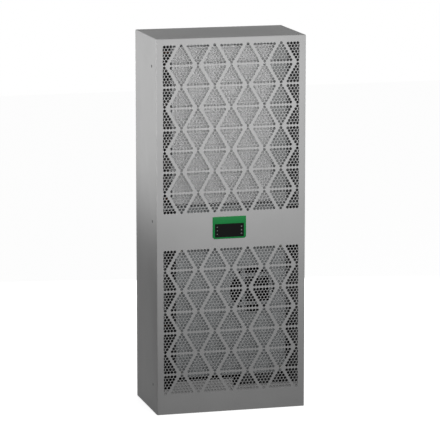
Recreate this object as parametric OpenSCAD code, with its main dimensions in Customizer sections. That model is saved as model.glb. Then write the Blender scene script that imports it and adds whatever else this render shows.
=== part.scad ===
/* [Housing] */
// Overall width of the cover
body_w = 405; // [390:5:430]
// Overall depth, from the front face to the sealing face at the rear
body_d = 240; // [236:2:260]
// Overall height
body_h = 1000; // [990:5:1040]
// Sheet thickness of the cover
cover_t = 1.5; // [1:0.1:2]
// Outside radius of the cover's folded edges
bend_r = 3; // [2.5:0.5:5]
// Sheet thickness of the chassis and its partitions
chassis_t = 1.5; // [1:0.1:2]
// Depth of chassis left showing behind the cover
rim_d = 9; // [4:1:14]
// Clearance between sheets that slide or lie together
slide_gap = 0.3; // [0.2:0.05:0.5]

/* [Perforation] */
// Width of the plain bar between neighbouring triangles
bar_gap = 9; // [7:0.5:11]
// Rows of holes in one triangle, seven on the finest sheet
hole_rows = 4; // [3:1:5]
// Share of the hole pitch taken by the hole's diameter
hole_share = 0.777; // [0.6:0.01:0.82]
// Distance between triangles that point the same way
tri_period = 90; // [86:1:96]
// Height of one band of triangles, bar included
band_h = 56; // [54:1:57]
// Height of the triangle inside its band
tri_h = 52.5; // [50:0.5:53.5]
// Bands of triangles in the upper field
upper_bands = 8; // [6:1:8]
// Bands of triangles in the lower field
lower_bands = 7; // [5:1:7]
// Plain strip above the upper field
upper_margin = 16.75; // [12:0.25:20]
// Height of the lower field's top edge above the base
lower_field_top = 442.15; // [430:0.05:450]
// Plain strip beside both fields
field_side = 18; // [15:0.5:25]

/* [Display] */
// Width of the display bezel
bezel_w = 91; // [86:1:100]
// Height of the display bezel
bezel_h = 59; // [56:1:66]
// How far the bezel stands out of the cover
bezel_proud = 1.5; // [1:0.1:3]
// Height of the bezel's lower edge above the base
bezel_z = 467; // [455:1:470]
// Sideways place of the bezel's middle
bezel_x = -5.6; // [-20:0.1:20]
// Width of the black window
window_w = 79; // [74:1:82]
// Height of the black window
window_h = 36; // [34:1:40]
// Radius of a key
key_r = 2.4; // [2:0.1:3]
// Distance between keys, and between lamps
key_pitch = 9.5; // [8:0.1:10.5]
// Travel of a key
key_travel = 0.6; // [0.3:0.1:1]

/* [Condenser] */
// Room between the cover's left edge and the condenser's fin pack
cond_left = 49.5; // [48:0.5:56]
// Room between the fin pack and the cover's right edge
cond_right = 85.5; // [83:0.5:95]
// Depth of the condenser's fin pack
cond_d = 40; // [36:1:44]
// Tubes in one row of the condenser
cond_tubes = 16; // [12:2:16]
// Distance between neighbouring tubes in a coil
tube_pitch = 26; // [24:0.5:26]
// Outside radius of the coil tubes
tube_r = 4.75; // [3.5:0.25:5]
// Distance between fins
fin_pitch = 6; // [5:0.5:9]
// Thickness of a fin
fin_t = 0.6; // [0.4:0.1:0.8]

/* [Evaporator] */
// Room between either edge of the cover and the evaporator's fin pack
evap_side = 64.5; // [62:0.5:72]
// Depth of the evaporator's fin pack
evap_d = 40; // [36:1:42]
// Tubes in one row of the evaporator
evap_tubes = 8; // [6:2:8]
// How far the cold air outlet ends inside the fin pack's sides
outlet_side = 7; // [4:0.5:15]
// How far it ends inside the fin pack's top and foot
outlet_in = 16; // [14:1:24]

/* [Fans] */
// Radius of both impellers
fan_r = 90; // [84:1:92]
// Radius of the hole that a fan breathes through
mouth_r = 61; // [58:1:63]
// Number of blades on an impeller
blades = 7; // [5:1:9]
// Width of the blades along the axis
blade_w = 40; // [36:1:42]
// Radius of the external rotor
rotor_r = 42; // [38:1:44]
// Radius of the motor shaft
shaft_r = 4; // [3:0.5:5]
// Running clearance of the shaft in its bearing
run_gap = 0.05; // [0.02:0.01:0.1]

/* [Compressor] */
// Radius of the compressor shell
comp_r = 56; // [50:1:58]
// Height of the compressor shell
comp_h = 168; // [150:2:176]
// Radius of the suction accumulator
acc_r = 22; // [18:1:24]
// Height of the suction accumulator
acc_h = 130; // [110:2:136]
// Outside radius of the refrigerant pipes
pipe_r = 4; // [3:0.5:5]

/* [Fixing] */
// Distance of the rear fixing points from the cover's sides
fix_side = 32.5; // [27:0.5:42]
// Distance of the rear fixing points from the top and the base
fix_end = 40; // [38:1:60]
// Radius of the threaded hole in a rivet nut
fix_r = 3.4; // [2.5:0.1:4]
// Thickness of the sealing strip once compressed
seal_t = 3; // [2:0.5:5]
// Width of the sealing strip
seal_w = 12; // [8:1:15]
// Outside radius of the drain spout
drain_r = 8; // [6:0.5:10]

/* [Hidden] */
$fn = 48;

// One overrun for every cut
over = 1;
half_w = body_w / 2;
half_d = body_d / 2;
front_y = -half_d;
seal_y = half_d;
// Rear and front faces of the chassis' back wall
back_y = seal_y - seal_t;
back_in_y = back_y - chassis_t;
cover_rear_y = back_y - rim_d;
cover_in_y = front_y + cover_t;

// Side faces of the chassis, outside and inside
wall_x = half_w - cover_t - slide_gap;
wall_in_x = wall_x - chassis_t;
// Half width of what stands between the chassis' side walls
inner_x = wall_in_x - slide_gap;
chassis_top = body_h - cover_t - slide_gap;
chassis_top_in = chassis_top - chassis_t;
inner_top = chassis_top_in - slide_gap;

// Perforated fields, and the bands that fit between the display and the top
field_w = body_w - 2 * field_side;
strip_gap = 9;
upper_fit = min(upper_bands, floor((body_h - upper_margin - bezel_z - bezel_h - strip_gap) / band_h));

// Rear fixing points
fix_w = body_w - 2 * fix_side;
fix_h = body_h - 2 * fix_end;

// Cover screws: distance behind the front face and heights
screw_in = 47;
screw_top_drop = 76;
screw_low_z = 73;
screw_mid_z = 513;
screw_head_r = 3.8;
screw_shank_r = 2;
screw_socket_r = 1.5;
screw_len = 9;
screw_zs = [screw_low_z, screw_mid_z, body_h - screw_top_drop];
screw_y = front_y + screw_in;
// Overlap of the chassis' side walls past the screws
wall_overlap = 13;
wall_front_y = screw_y - wall_overlap;

// Front plane of the fan panel and of the condenser
panel_in = 22;
panel_y = front_y + panel_in;
panel_back_y = panel_y + chassis_t;
panel_left = 57.5;
panel_right = 47.5;
panel_x0 = panel_left - half_w;
panel_x1 = half_w - panel_right;
panel_z = 94;

// Upright partition between the outdoor and the indoor circuit
split_in = 100.5;
split_y = back_in_y - split_in;
split_back_y = split_y + chassis_t;
shelf_z = 226;

// Condenser
cond_drop = 25;
cond_rows = 2;
row_pitch = 20;
cond_w = body_w - cond_left - cond_right;
cond_x0 = cond_left - half_w;
cond_x1 = cond_x0 + cond_w;
cond_y0 = panel_back_y + slide_gap;
cond_y1 = cond_y0 + cond_d;
cond_z1 = body_h - cond_drop;
// Tubes in a row, and pairs of them that fit above the fan
cond_fan_z = 323;
cond_clear = 20;
pairs_fit = floor((cond_z1 - cond_fan_z - fan_r - cond_clear) / tube_pitch / 2);
cond_fit = min(cond_tubes, 2 * pairs_fit);
cond_h = cond_fit * tube_pitch;
cond_z0 = cond_z1 - cond_h;
coil_foot = 6;
sill_top = cond_z0 - coil_foot;
sill_z = sill_top - chassis_t;
plate_gap = 0.5;
plate_lip = 3;
tube_stub = 3;
tube_fit = 0.1;

// Evaporator
evap_w = body_w - 2 * evap_side;
evap_z0 = 325;
evap_h = evap_tubes * tube_pitch;
evap_z1 = evap_z0 + evap_h;
evap_back = 5;
evap_y1 = back_in_y - evap_back;
evap_y0 = evap_y1 - evap_d;
outlet_w = evap_w - 2 * outlet_side;
outlet_h = evap_h - 2 * outlet_in;
outlet_z0 = evap_z0 + outlet_in;

// Fans: distances along the axis from the plate that carries the inlet ring
ring_t = 1.2;
ring_flange = 14;
bell_r = 5;
ring_len = 13.5;
shroud_s = 12.5;
shroud_t = 2;
eye_gap = 2;
lip_r = mouth_r - bell_r;
eye_r = lip_r + eye_gap;
blade_t = 2;
blade_s = shroud_s + shroud_t;
disc_s = blade_s + blade_w;
disc_t = 2.5;
rotor_s = 24;
rotor_t = 3;
stator_gap = 1;
core_end_s = disc_s + disc_t + stator_gap + stator_gap;
core_gap = 1;
flange_t = 7;
mount_s = core_end_s + flange_t;
fan_wall_gap = 2;
cond_fan_x = panel_x1 - fan_wall_gap - fan_r;
evap_fan_x = 0;
evap_fan_drop = 200;
evap_fan_z = body_h - evap_fan_drop;
bracket_w = 64;
bracket_h = 112;
bracket_foot = 16;

// Fan guard bars over the panel's hole
bar_w = 9;
bar_t = 1.5;
bar_pitch = 75;
bar_off = 13;
bar_len = 150;

// Display
bezel_chamfer = 4;
bezel_corner_r = 1;
bezel_sink = 11;
bezel_inset = 2;
window_t = 1.6;
window_lift = 4;
window_recess = 0.3;
window_gap = 0.1;
key_edge = 6.5;
lamp_edge = 6.5;
lamp_r = 1.2;
key_proud = 0.7;
key_flange_r = 3.4;
key_flange_t = 0.8;
key_gap = 0.08;
key_back = 0.3;
board_t = 1.6;
board_gap = 1;
housing_t = 1.5;
bezel_y = front_y - bezel_proud;
window_y = bezel_y + window_recess;
window_back_y = window_y + window_t;
window_z = bezel_z + window_lift;
window_mid_z = window_z + window_h / 2;
key_x = bezel_x + window_w / 2 - key_edge;
lamp_x = bezel_x - window_w / 2 + lamp_edge;
bezel_mid_z = bezel_z + bezel_h / 2;

// Compressor compartment
comp_left = 118.5;
comp_in = 93.5;
comp_x = comp_left - half_w;
comp_y = back_in_y - comp_in;
comp_foot_z = 22;
comp_foot_t = 3;
comp_foot_r = 72;
comp_dome = 14;
lug_r = 13;
bush_r = 9;
bush_neck_r = 6;
bush_lip = 3;
bolt_r = 3;
floor_t = 2;
acc_gap = 12;
acc_behind = 18;
acc_x = comp_x + comp_r + acc_gap + acc_r;
acc_y = comp_y + acc_behind;
acc_z = 52;
acc_cone = 12;
neck_r = 8;
neck_x = comp_x + comp_r / 3;
tcover_x = comp_x - comp_r / 3;

// Base tray
tray_front_h = 68;
tray_step_h = 87;
tray_step_w = 160;
tray_step_x0 = comp_x - comp_foot_r;
tray_step_x1 = tray_step_x0 + tray_step_w;
tray_flange_h = 25;

// Electrics
ebox_w = 100;
ebox_right = 52.5;
ebox_in = 157.5;
ebox_x1 = half_w - ebox_right;
ebox_x0 = ebox_x1 - ebox_w;
ebox_y0 = back_in_y - ebox_in;
ebox_z0 = 14;
ebox_z1 = 206;
ebox_t = 1.2;
wire_w = 92;
wire_h = 34;
wire_z = 132;
wire_recess = 9;
cap_r = 19;
cap_h = 72;

// Drain
drain_right = 30.5;
drain_in = 29.5;
drain_x = half_w - drain_right;
drain_y = back_in_y - drain_in;
drain_wall = 1.6;
drain_up = 4;
drain_hole_r = 17;
hose_t = 2;
drip_h = 18;
drip_z = evap_z0 - drip_h - slide_gap;
drip_t = 1.2;

module slab(a, b) {
    translate(a) cube(b - a);
}

// Turns a drawing in x and z to stand with its front face at y, extruded backwards by t
module upright(y, t) {
    translate([0, y + t, 0]) rotate([90, 0, 0]) linear_extrude(t) children();
}

// Cylinder along y from y0 to y1
module rod_y(x, z, r, y0, y1) {
    translate([x, y1, z]) rotate([90, 0, 0]) cylinder(r = r, h = y1 - y0);
}

module frame2d(outer, inner) {
    difference() {
        square(outer, center = true);
        square(inner, center = true);
    }
}

// Straight pipe runs with round elbows through a list of corners, each run along one axis
module pipe_run(pts, r, elbow) {
    last = len(pts) - 1;
    for (i = [0 : last - 1]) {
        a = pts[i];
        b = pts[i + 1];
        d = (b - a) / norm(b - a);
        start = (i == 0) ? a : a + d * elbow;
        stop = (i == last - 1) ? b : b - d * elbow;
        turn = acos(d.z);
        spin = (abs(d.x) + abs(d.y) == 0) ? 0 : atan2(d.y, d.x);
        translate(start) rotate([0, turn, spin]) cylinder(r = r, h = norm(stop - start));
    }
    for (i = [1 : 1 : last - 1]) {
        u = (pts[i] - pts[i - 1]) / norm(pts[i] - pts[i - 1]);
        v = (pts[i + 1] - pts[i]) / norm(pts[i + 1] - pts[i]);
        c = pts[i] - u * elbow + v * elbow;
        w = cross(-v, u);
        multmatrix([
            [-v.x, u.x, w.x, c.x],
            [-v.y, u.y, w.y, c.y],
            [-v.z, u.z, w.z, c.z]
        ]) rotate_extrude(angle = 90) translate([elbow, 0]) circle(r = r);
    }
}

// Perforation: triangles of round holes in bands, alternately upright and hanging
hole_pitch = (tri_period - 2 * bar_gap) / (hole_rows + 1);
hole_r = hole_pitch * hole_share / 2;
row_h = tri_h / hole_rows;
side_tris = ceil(field_w / tri_period / 2);

module hole_row(n, mid, z) {
    for (i = [0 : n - 1]) {
        x = mid + (i - (n - 1) / 2) * hole_pitch;
        if (abs(x) < field_w / 2 + hole_r - over) translate([x, z]) circle(r = hole_r);
    }
}

module hole_field(bands, top) {
    intersection() {
        for (b = [0 : bands - 1], k = [-side_tris : side_tris], r = [0 : hole_rows - 1]) {
            lean = (b % 2 == 0) ? tri_period / 2 : 0;
            z = top - b * band_h - (r + 1 / 2) * row_h;
            hole_row(r + 1, k * tri_period + lean, z);
            hole_row(hole_rows - r, k * tri_period + tri_period / 2 - lean, z);
        }
        translate([-field_w / 2, top - bands * band_h]) square([field_w, bands * band_h]);
    }
}

// Opening in the cover that the display's body passes through
cut_gap = 0.5;

module front_cover() {
    color("#A9ABAA") difference() {
        union() {
            upright(front_y, cover_t) difference() {
                translate([bend_r - half_w, 0]) square([body_w - 2 * bend_r, body_h]);
                hole_field(upper_fit, body_h - upper_margin);
                hole_field(lower_bands, lower_field_top);
                translate([bezel_x, bezel_mid_z])
                    square([bezel_w - 2 * bezel_inset, bezel_h - 2 * bezel_inset], center = true);
            }
            for (m = [0, 1]) mirror([m, 0, 0]) {
                slab([half_w - cover_t, front_y + bend_r, 0], [half_w, cover_rear_y, body_h]);
                translate([half_w - bend_r, front_y + bend_r, 0]) linear_extrude(body_h) intersection() {
                    difference() {
                        circle(r = bend_r);
                        circle(r = bend_r - cover_t);
                    }
                    translate([0, -bend_r]) square(bend_r);
                }
            }
            slab([bend_r - half_w, cover_in_y, body_h - cover_t], [half_w - bend_r, cover_rear_y, body_h]);
            for (m = [0, 1]) mirror([m, 0, 0])
                slab([half_w - bend_r, front_y + bend_r, body_h - cover_t],
                     [half_w - cover_t, cover_rear_y, body_h]);
        }
        for (m = [0, 1], z = screw_zs) mirror([m, 0, 0]) translate([half_w - cover_t, screw_y, z])
            rotate([0, 90, 0]) {
                cylinder(r1 = screw_shank_r + cut_gap, r2 = screw_head_r + cut_gap, h = cover_t);
                translate([0, 0, -over]) cylinder(r = screw_shank_r + cut_gap, h = cover_t + over);
            }
    }
}

// Countersunk screws, flush with the cover, that reach through the chassis wall
module cover_screws() {
    color("#3B3D3F") for (m = [0, 1], z = screw_zs) mirror([m, 0, 0])
        translate([half_w, screw_y, z]) rotate([0, -90, 0]) difference() {
            union() {
                cylinder(r1 = screw_head_r, r2 = screw_shank_r, h = cover_t);
                cylinder(r = screw_shank_r, h = screw_len);
            }
            translate([0, 0, -over]) cylinder(r = screw_socket_r, h = over + cover_t / 2, $fn = 6);
        }
}

// Chassis tub: back wall, side walls and top of one sheet, open at the front and below
module rear_chassis() {
    color("#9C9E9D") difference() {
        union() {
            slab([-wall_x, back_in_y, 0], [wall_x, back_y, chassis_top]);
            for (m = [0, 1]) mirror([m, 0, 0])
                slab([wall_in_x, wall_front_y, 0], [wall_x, back_y, chassis_top]);
            slab([-wall_x, wall_front_y, chassis_top_in], [wall_x, back_y, chassis_top]);
        }
        for (m = [0, 1], z = screw_zs) mirror([m, 0, 0]) translate([wall_in_x - over, screw_y, z])
            rotate([0, 90, 0]) cylinder(r = screw_shank_r + tube_fit, h = chassis_t + 2 * over);
        rod_y(evap_fan_x, evap_fan_z, mouth_r, back_in_y - over, back_y + over);
        slab([-outlet_w / 2, back_in_y - over, outlet_z0],
             [outlet_w / 2, back_y + over, outlet_z0 + outlet_h]);
        slab([wire_x - wire_w / 2, back_in_y - over, wire_z - wire_h / 2],
             [wire_x + wire_w / 2, back_y + over, wire_z + wire_h / 2]);
        for (x = [-1, 1], z = [-1, 1])
            rod_y(x * fix_w / 2, body_h / 2 + z * fix_h / 2, nut_r + tube_fit,
                  back_in_y - over, back_y + over);
    }
}

// Rivet nuts: barrel behind the sheet, thin flange on it
nut_r = 5.5;
nut_len = 16;
nut_flange_r = 8;
nut_flange_t = 1;

module rivet_nuts() {
    color("#C9C7BE") for (x = [-1, 1], z = [-1, 1]) {
        px = x * fix_w / 2;
        pz = body_h / 2 + z * fix_h / 2;
        difference() {
            union() {
                rod_y(px, pz, nut_r, back_y - nut_len, back_y);
                rod_y(px, pz, nut_flange_r, back_y, back_y + nut_flange_t);
            }
            rod_y(px, pz, fix_r, back_y - nut_len - over, back_y + nut_flange_t + over);
        }
    }
}

module rear_gasket() {
    seal_side = seal_w / 2;
    color("#2C2D2E") upright(back_y, seal_t) translate([0, chassis_top / 2])
        frame2d([2 * wall_x - seal_side, chassis_top - seal_side],
                [2 * wall_x - seal_side - 2 * seal_w, chassis_top - seal_side - 2 * seal_w]);
}

// Base tray with a stepped front flange, low side flanges and the drain hole
module base_tray() {
    tray_y0 = cover_in_y + slide_gap;
    tray_y1 = back_in_y - slide_gap;
    color("#A3A5A4") difference() {
        union() {
            slab([-inner_x, tray_y0, 0], [inner_x, tray_y1, floor_t]);
            slab([-inner_x, tray_y0, 0], [inner_x, tray_y0 + chassis_t, tray_front_h]);
            slab([tray_step_x0, tray_y0, 0], [tray_step_x1, tray_y0 + chassis_t, tray_step_h]);
            for (m = [0, 1]) mirror([m, 0, 0])
                slab([inner_x - chassis_t, tray_y0, 0], [inner_x, tray_y1, tray_flange_h]);
        }
        translate([drain_x, drain_y, -over]) cylinder(r = drain_hole_r, h = floor_t + 2 * over);
        for (p = bolt_spots) translate([p.x, p.y, -over])
            cylinder(r = bolt_r + cut_gap, h = floor_t + 2 * over);
    }
}

// Partition with a shelf below that closes the indoor circuit
module mid_partition() {
    color("#B4B6B5") difference() {
        union() {
            slab([-inner_x, split_y, shelf_z], [inner_x, split_back_y, inner_top]);
            slab([-inner_x, split_y, shelf_z], [inner_x, back_in_y - slide_gap, shelf_z + chassis_t]);
        }
        translate([drain_x, drain_y, shelf_z - over])
            cylinder(r = drain_r + hose_t + cut_gap, h = chassis_t + 2 * over);
        translate([acc_x, acc_y, shelf_z - over]) cylinder(r = grommet_r, h = chassis_t + 2 * over);
        translate([side_pipe_x, capillary_y, shelf_z - over])
            cylinder(r = grommet_r, h = chassis_t + 2 * over);
    }
}

// Sill under the condenser, which also parts intake and discharge behind the cover
module coil_sill() {
    color("#B0B2B1") slab([-inner_x, cover_in_y + plate_gap, sill_z], [inner_x, cond_y1, sill_top]);
}

module coil_top_plate() {
    color("#B0B2B1") {
        x0 = cond_x0 - plate_gap + slide_gap;
        x1 = panel_x1 - slide_gap;
        z0 = cond_z1 + plate_lip;
        slab([x0, panel_y, z0], [x1, cond_y1, z0 + chassis_t]);
        slab([x0, cond_y1 - chassis_t, z0], [x1, cond_y1, inner_top]);
    }
}

// Front wall and left wall of the fan compartment, with the fan's mouth
module fan_panel() {
    color("#BFC1C0") difference() {
        union() {
            slab([panel_x0, panel_y, panel_z], [panel_x1, panel_back_y, sill_z - slide_gap]);
            slab([panel_x0, panel_y, panel_z],
                 [panel_x0 + chassis_t, split_y - slide_gap, sill_z - slide_gap]);
        }
        rod_y(cond_fan_x, cond_fan_z, mouth_r, panel_y - over, panel_back_y + over);
        translate([panel_x0 - over, discharge_y, discharge_z]) rotate([0, 90, 0])
            cylinder(r = grommet_r, h = chassis_t + 2 * over);
    }
}

// Right wall of the fan compartment and of the space behind the condenser
module plenum_wall() {
    color("#B8BAB9") difference() {
        slab([panel_x1, panel_back_y + slide_gap, panel_z],
             [panel_x1 + chassis_t, split_y - slide_gap, inner_top]);
        slab([panel_x1 - over, cover_in_y, sill_z - slide_gap],
             [panel_x1 + chassis_t + over, cond_y1 + slide_gap, sill_top + slide_gap]);
    }
}

pscrew_r = 3.5;
pscrew_h = 2;
pscrew_edge = 12;
pscrew_drop = 115.2;
pscrew_n = 4;
pscrew_step = (sill_z - slide_gap - pscrew_drop - panel_z - pscrew_edge) / (pscrew_n - 1);

module panel_screws() {
    color("#D0D0CC") for (i = [0 : pscrew_n - 1], x = [panel_x0 + pscrew_edge, panel_x1 - pscrew_edge])
        rod_y(x, panel_z + pscrew_edge + i * pscrew_step, pscrew_r, panel_y - pscrew_h, panel_y);
}

// Fin plates expanded onto the tubes that pass through them
module coil(x0, length, y0, depth, z0, tubes, rows) {
    fins = round(length / fin_pitch);
    step = (length - fin_t) / fins;
    y_mid = y0 + depth / 2;
    union() {
        for (i = [0 : fins])
            slab([x0 + i * step, y0, z0], [x0 + i * step + fin_t, y0 + depth, z0 + tubes * tube_pitch]);
        for (r = [0 : rows - 1], i = [0 : tubes - 1])
            translate([x0 - tube_out, y_mid + (r - (rows - 1) / 2) * row_pitch,
                       z0 + (i + 1 / 2) * tube_pitch])
                rotate([0, 90, 0]) cylinder(r = tube_r, h = length + 2 * tube_out);
    }
}

// Tube sheet with a hole for each tube; it may reach further back than the fins
module end_plate(x, y0, y1, y_mid, z0, z1, tube_z, tubes, rows) {
    difference() {
        slab([x, y0, z0], [x + chassis_t, y1, z1]);
        for (r = [0 : rows - 1], i = [0 : tubes - 1])
            translate([x - over, y_mid + (r - (rows - 1) / 2) * row_pitch,
                       tube_z + (i + 1 / 2) * tube_pitch])
                rotate([0, 90, 0]) cylinder(r = tube_r + tube_fit, h = chassis_t + 2 * over);
    }
}

// Return bends: a half ring that joins two tubes one pitch apart
module return_bend() {
    rotate([90, 0, 0]) rotate([0, 0, -90]) rotate_extrude(angle = 180) translate([tube_pitch / 2, 0])
        circle(r = tube_r);
}

module bends(x0, x1, y_mid, z0, tubes, rows) {
    for (r = [0 : rows - 1]) {
        y = y_mid + (r - (rows - 1) / 2) * row_pitch;
        for (i = [0 : 2 : tubes - 2]) translate([x1, y, z0 + (i + 1) * tube_pitch]) return_bend();
        for (i = [1 : 2 : tubes - 3]) translate([x0, y, z0 + (i + 1) * tube_pitch])
            mirror([1, 0, 0]) return_bend();
    }
}

cond_mid_y = (cond_y0 + cond_y1) / 2;
evap_mid_y = (evap_y0 + evap_y1) / 2;
tube_out = plate_gap + chassis_t + tube_stub;
evap_x0 = -evap_w / 2;

module condenser_coil() {
    color("#C8CACC") coil(cond_x0, cond_w, cond_y0, cond_d, cond_z0, cond_fit, cond_rows);
}

module condenser_end_plates() {
    z0 = sill_top + slide_gap;
    z1 = cond_z1 + plate_lip - slide_gap;
    color("#A8AAAB") {
        end_plate(cond_x0 - plate_gap - chassis_t, panel_y, split_y - slide_gap, cond_mid_y, z0, inner_top,
                  cond_z0, cond_fit, cond_rows);
        end_plate(cond_x1 + plate_gap, panel_y, cond_y1, cond_mid_y, z0, z1, cond_z0, cond_fit, cond_rows);
    }
}

module condenser_bends() {
    color("#B5713F")
        bends(cond_x0 - tube_out, cond_x1 + tube_out, cond_mid_y, cond_z0, cond_fit, cond_rows);
}

// Blanking strip between the right tube sheet and the plenum wall
module coil_side_filler() {
    color("#8E9091")
        slab([cond_x1 + plate_gap + chassis_t + slide_gap, panel_y, sill_top + slide_gap],
             [panel_x1 - slide_gap, panel_back_y, cond_z1 + plate_lip - slide_gap]);
}

module evaporator_coil() {
    color("#C8CACC") coil(evap_x0, evap_w, evap_y0, evap_d, evap_z0, evap_tubes, cond_rows);
}

module evaporator_end_plates() {
    z1 = evap_z1 + plate_lip - slide_gap;
    color("#A8AAAB") for (x = [evap_x0 - plate_gap - chassis_t, evap_x0 + evap_w + plate_gap])
        end_plate(x, evap_y0, back_in_y - slide_gap, evap_mid_y, evap_z0, z1,
                  evap_z0, evap_tubes, cond_rows);
}

module evaporator_bends() {
    color("#B5713F")
        bends(evap_x0 - tube_out, evap_x0 + evap_w + tube_out, evap_mid_y, evap_z0, evap_tubes, cond_rows);
}

module evaporator_top_plate() {
    z0 = evap_z1 + plate_lip;
    color("#B0B2B1") slab([-inner_x, evap_y0, z0], [inner_x, back_in_y - slide_gap, z0 + chassis_t]);
}

// Places a fan part drawn along +z at the plate it breathes through, looking at the impeller's eye
module on_condenser() {
    translate([cond_fan_x, panel_back_y, cond_fan_z]) rotate([-90, 0, 0]) children();
}

module on_evaporator() {
    translate([evap_fan_x, back_in_y, evap_fan_z]) rotate([90, 0, 0]) children();
}

// Bell-mouthed inlet ring with a flange on the plate
module inlet_ring() {
    rotate_extrude() {
        translate([mouth_r, 0]) square([ring_flange, ring_t]);
        translate([lip_r - ring_t, bell_r + ring_t]) square([ring_t, ring_len - bell_r - ring_t]);
        translate([mouth_r, bell_r + ring_t]) intersection() {
            difference() {
                circle(r = bell_r + ring_t);
                circle(r = bell_r);
            }
            translate([-bell_r - ring_t, -bell_r - ring_t]) square(bell_r + ring_t);
        }
    }
}

// Backward-curved blade: an arc between the hub radius and the rim
blade_curve_r = 62;
blade_root_r = 52;
blade_tip_in = 1;
module blade2d() {
    intersection() {
        translate([0, blade_curve_r]) difference() {
            circle(r = blade_curve_r + blade_t / 2);
            circle(r = blade_curve_r - blade_t / 2);
        }
        difference() {
            circle(r = fan_r - blade_tip_in);
            circle(r = blade_root_r);
        }
        translate([0, -over]) square([fan_r, fan_r]);
    }
}

module impeller() {
    difference() {
        union() {
            translate([0, 0, shroud_s]) difference() {
                cylinder(r = fan_r, h = shroud_t);
                translate([0, 0, -over]) cylinder(r = eye_r, h = shroud_t + 2 * over);
            }
            translate([0, 0, blade_s]) linear_extrude(blade_w)
                for (i = [0 : blades - 1]) rotate(i * 360 / blades) blade2d();
            translate([0, 0, disc_s]) cylinder(r = fan_r, h = disc_t);
        }
        translate([0, 0, disc_s - over]) cylinder(r = rotor_r + run_gap, h = disc_t + 2 * over);
    }
}

// External rotor: cup with a stepped rim that the impeller's disc sits on, and the shaft
module rotor() {
    rim_s = disc_s + disc_t;
    difference() {
        translate([0, 0, rotor_s]) cylinder(r = rotor_r, h = rim_s - rotor_s + stator_gap);
        translate([0, 0, rotor_s + rotor_t]) cylinder(r = rotor_r - rotor_t, h = rim_s);
    }
    translate([0, 0, rotor_s]) cylinder(r = shaft_r, h = core_end_s + flange_t / 2 - rotor_s);
}

module stator() {
    difference() {
        union() {
            translate([0, 0, rotor_s + rotor_t + core_gap])
                cylinder(r = rotor_r - rotor_t - core_gap, h = core_end_s - rotor_s - rotor_t - core_gap);
            translate([0, 0, core_end_s]) cylinder(r = rotor_r, h = flange_t);
        }
        translate([0, 0, rotor_s])
            cylinder(r = shaft_r + run_gap, h = core_end_s + flange_t / 2 + core_gap - rotor_s);
    }
}

// Hat-shaped bracket between the stator and the partition, drawn along +z
module motor_bracket(reach) {
    depth = reach - mount_s;
    half_h = bracket_h / 2;
    translate([-bracket_w / 2, 0, 0]) {
        translate([0, -half_h, mount_s]) cube([bracket_w, bracket_h, chassis_t]);
        for (m = [0, 1]) mirror([0, m, 0]) {
            translate([0, half_h - chassis_t, mount_s]) cube([bracket_w, chassis_t, depth]);
            translate([0, half_h - chassis_t, mount_s + depth - chassis_t])
                cube([bracket_w, bracket_foot, chassis_t]);
        }
    }
}

module condenser_inlet_ring() {
    color("#1D1E1F") on_condenser() inlet_ring();
}

module evaporator_inlet_ring() {
    color("#1D1E1F") on_evaporator() inlet_ring();
}

module condenser_impeller() {
    color("#232425") on_condenser() impeller();
}

module evaporator_impeller() {
    color("#232425") on_evaporator() impeller();
}

module condenser_rotor() {
    color("#4A4C4E") on_condenser() rotor();
}

module evaporator_rotor() {
    color("#4A4C4E") on_evaporator() rotor();
}

module condenser_stator() {
    color("#7C7E80") on_condenser() stator();
}

module evaporator_stator() {
    color("#7C7E80") on_evaporator() stator();
}

module condenser_motor_bracket() {
    color("#A8AAAB") on_condenser() motor_bracket(split_y - panel_back_y);
}

module evaporator_motor_bracket() {
    color("#A8AAAB") on_evaporator() motor_bracket(back_in_y - split_back_y);
}

// Crossed flat bars over the fan's mouth
module condenser_fan_guard() {
    color("#9EA0A1") upright(panel_y - bar_t, bar_t) translate([cond_fan_x + bar_off, cond_fan_z])
        for (s = [-1, 1]) {
            translate([s * bar_pitch / 2 - bar_w / 2, -bar_len / 2]) square([bar_w, bar_len]);
            translate([-bar_len / 2, s * bar_pitch / 2 - bar_w / 2]) square([bar_len, bar_w]);
        }
}

// Drip tray under the evaporator, with a spout down to the hose
module drip_tray() {
    x1 = drain_x + drain_r + hose_t;
    y0 = evap_y0 - drip_h;
    y1 = back_in_y - slide_gap;
    color("#8C9094") difference() {
        union() {
            difference() {
                slab([evap_x0 - drip_h, y0, drip_z], [x1, y1, drip_z + drip_h]);
                slab([evap_x0 - drip_h + drip_t, y0 + drip_t, drip_z + drip_t],
                     [x1 - drip_t, y1 - drip_t, drip_z + drip_h + over]);
            }
            translate([drain_x, drain_y, drip_z - drip_h])
                cylinder(r = drain_r - drip_t, h = drip_h + drip_t);
        }
        translate([drain_x, drain_y, drip_z - drip_h - over])
            cylinder(r = drain_r - 2 * drip_t, h = drip_h + 2 * drip_t + 2 * over);
    }
}

module drain_hose() {
    z0 = cup_h + cup_t + slide_gap;
    color("#3A3C3D") translate([drain_x, drain_y, z0]) difference() {
        cylinder(r = drain_r + hose_t, h = drip_z - z0);
        translate([0, 0, -over]) cylinder(r = drain_r - drip_t + run_gap, h = drip_z - z0 + 2 * over);
    }
}

// Drain fitting: an upturned cup on the tray's floor with a tube through its middle
cup_r = 21;
cup_h = 26;
cup_t = 2;
spout_stub = 12;
module drain_spout() {
    color("#2E3031") translate([drain_x, drain_y, 0]) rotate_extrude() {
        bore = drain_r - drip_t - drain_wall;
        translate([bore, drain_up]) square([drain_r - bore, cup_h - drain_up + cup_t]);
        translate([bore, cup_h]) square([cup_r - bore, cup_t]);
        translate([cup_r - cup_t, floor_t]) square([cup_t, cup_h + cup_t - floor_t]);
        translate([bore, cup_h]) square([drain_wall, cup_t + spout_stub]);
    }
}

// Places of the three compressor feet
foot_turn = 30;
bolt_spots = [for (i = [0 : 2]) [
    comp_x + comp_foot_r * cos(foot_turn + i * 120),
    comp_y + comp_foot_r * sin(foot_turn + i * 120)
]];

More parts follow.
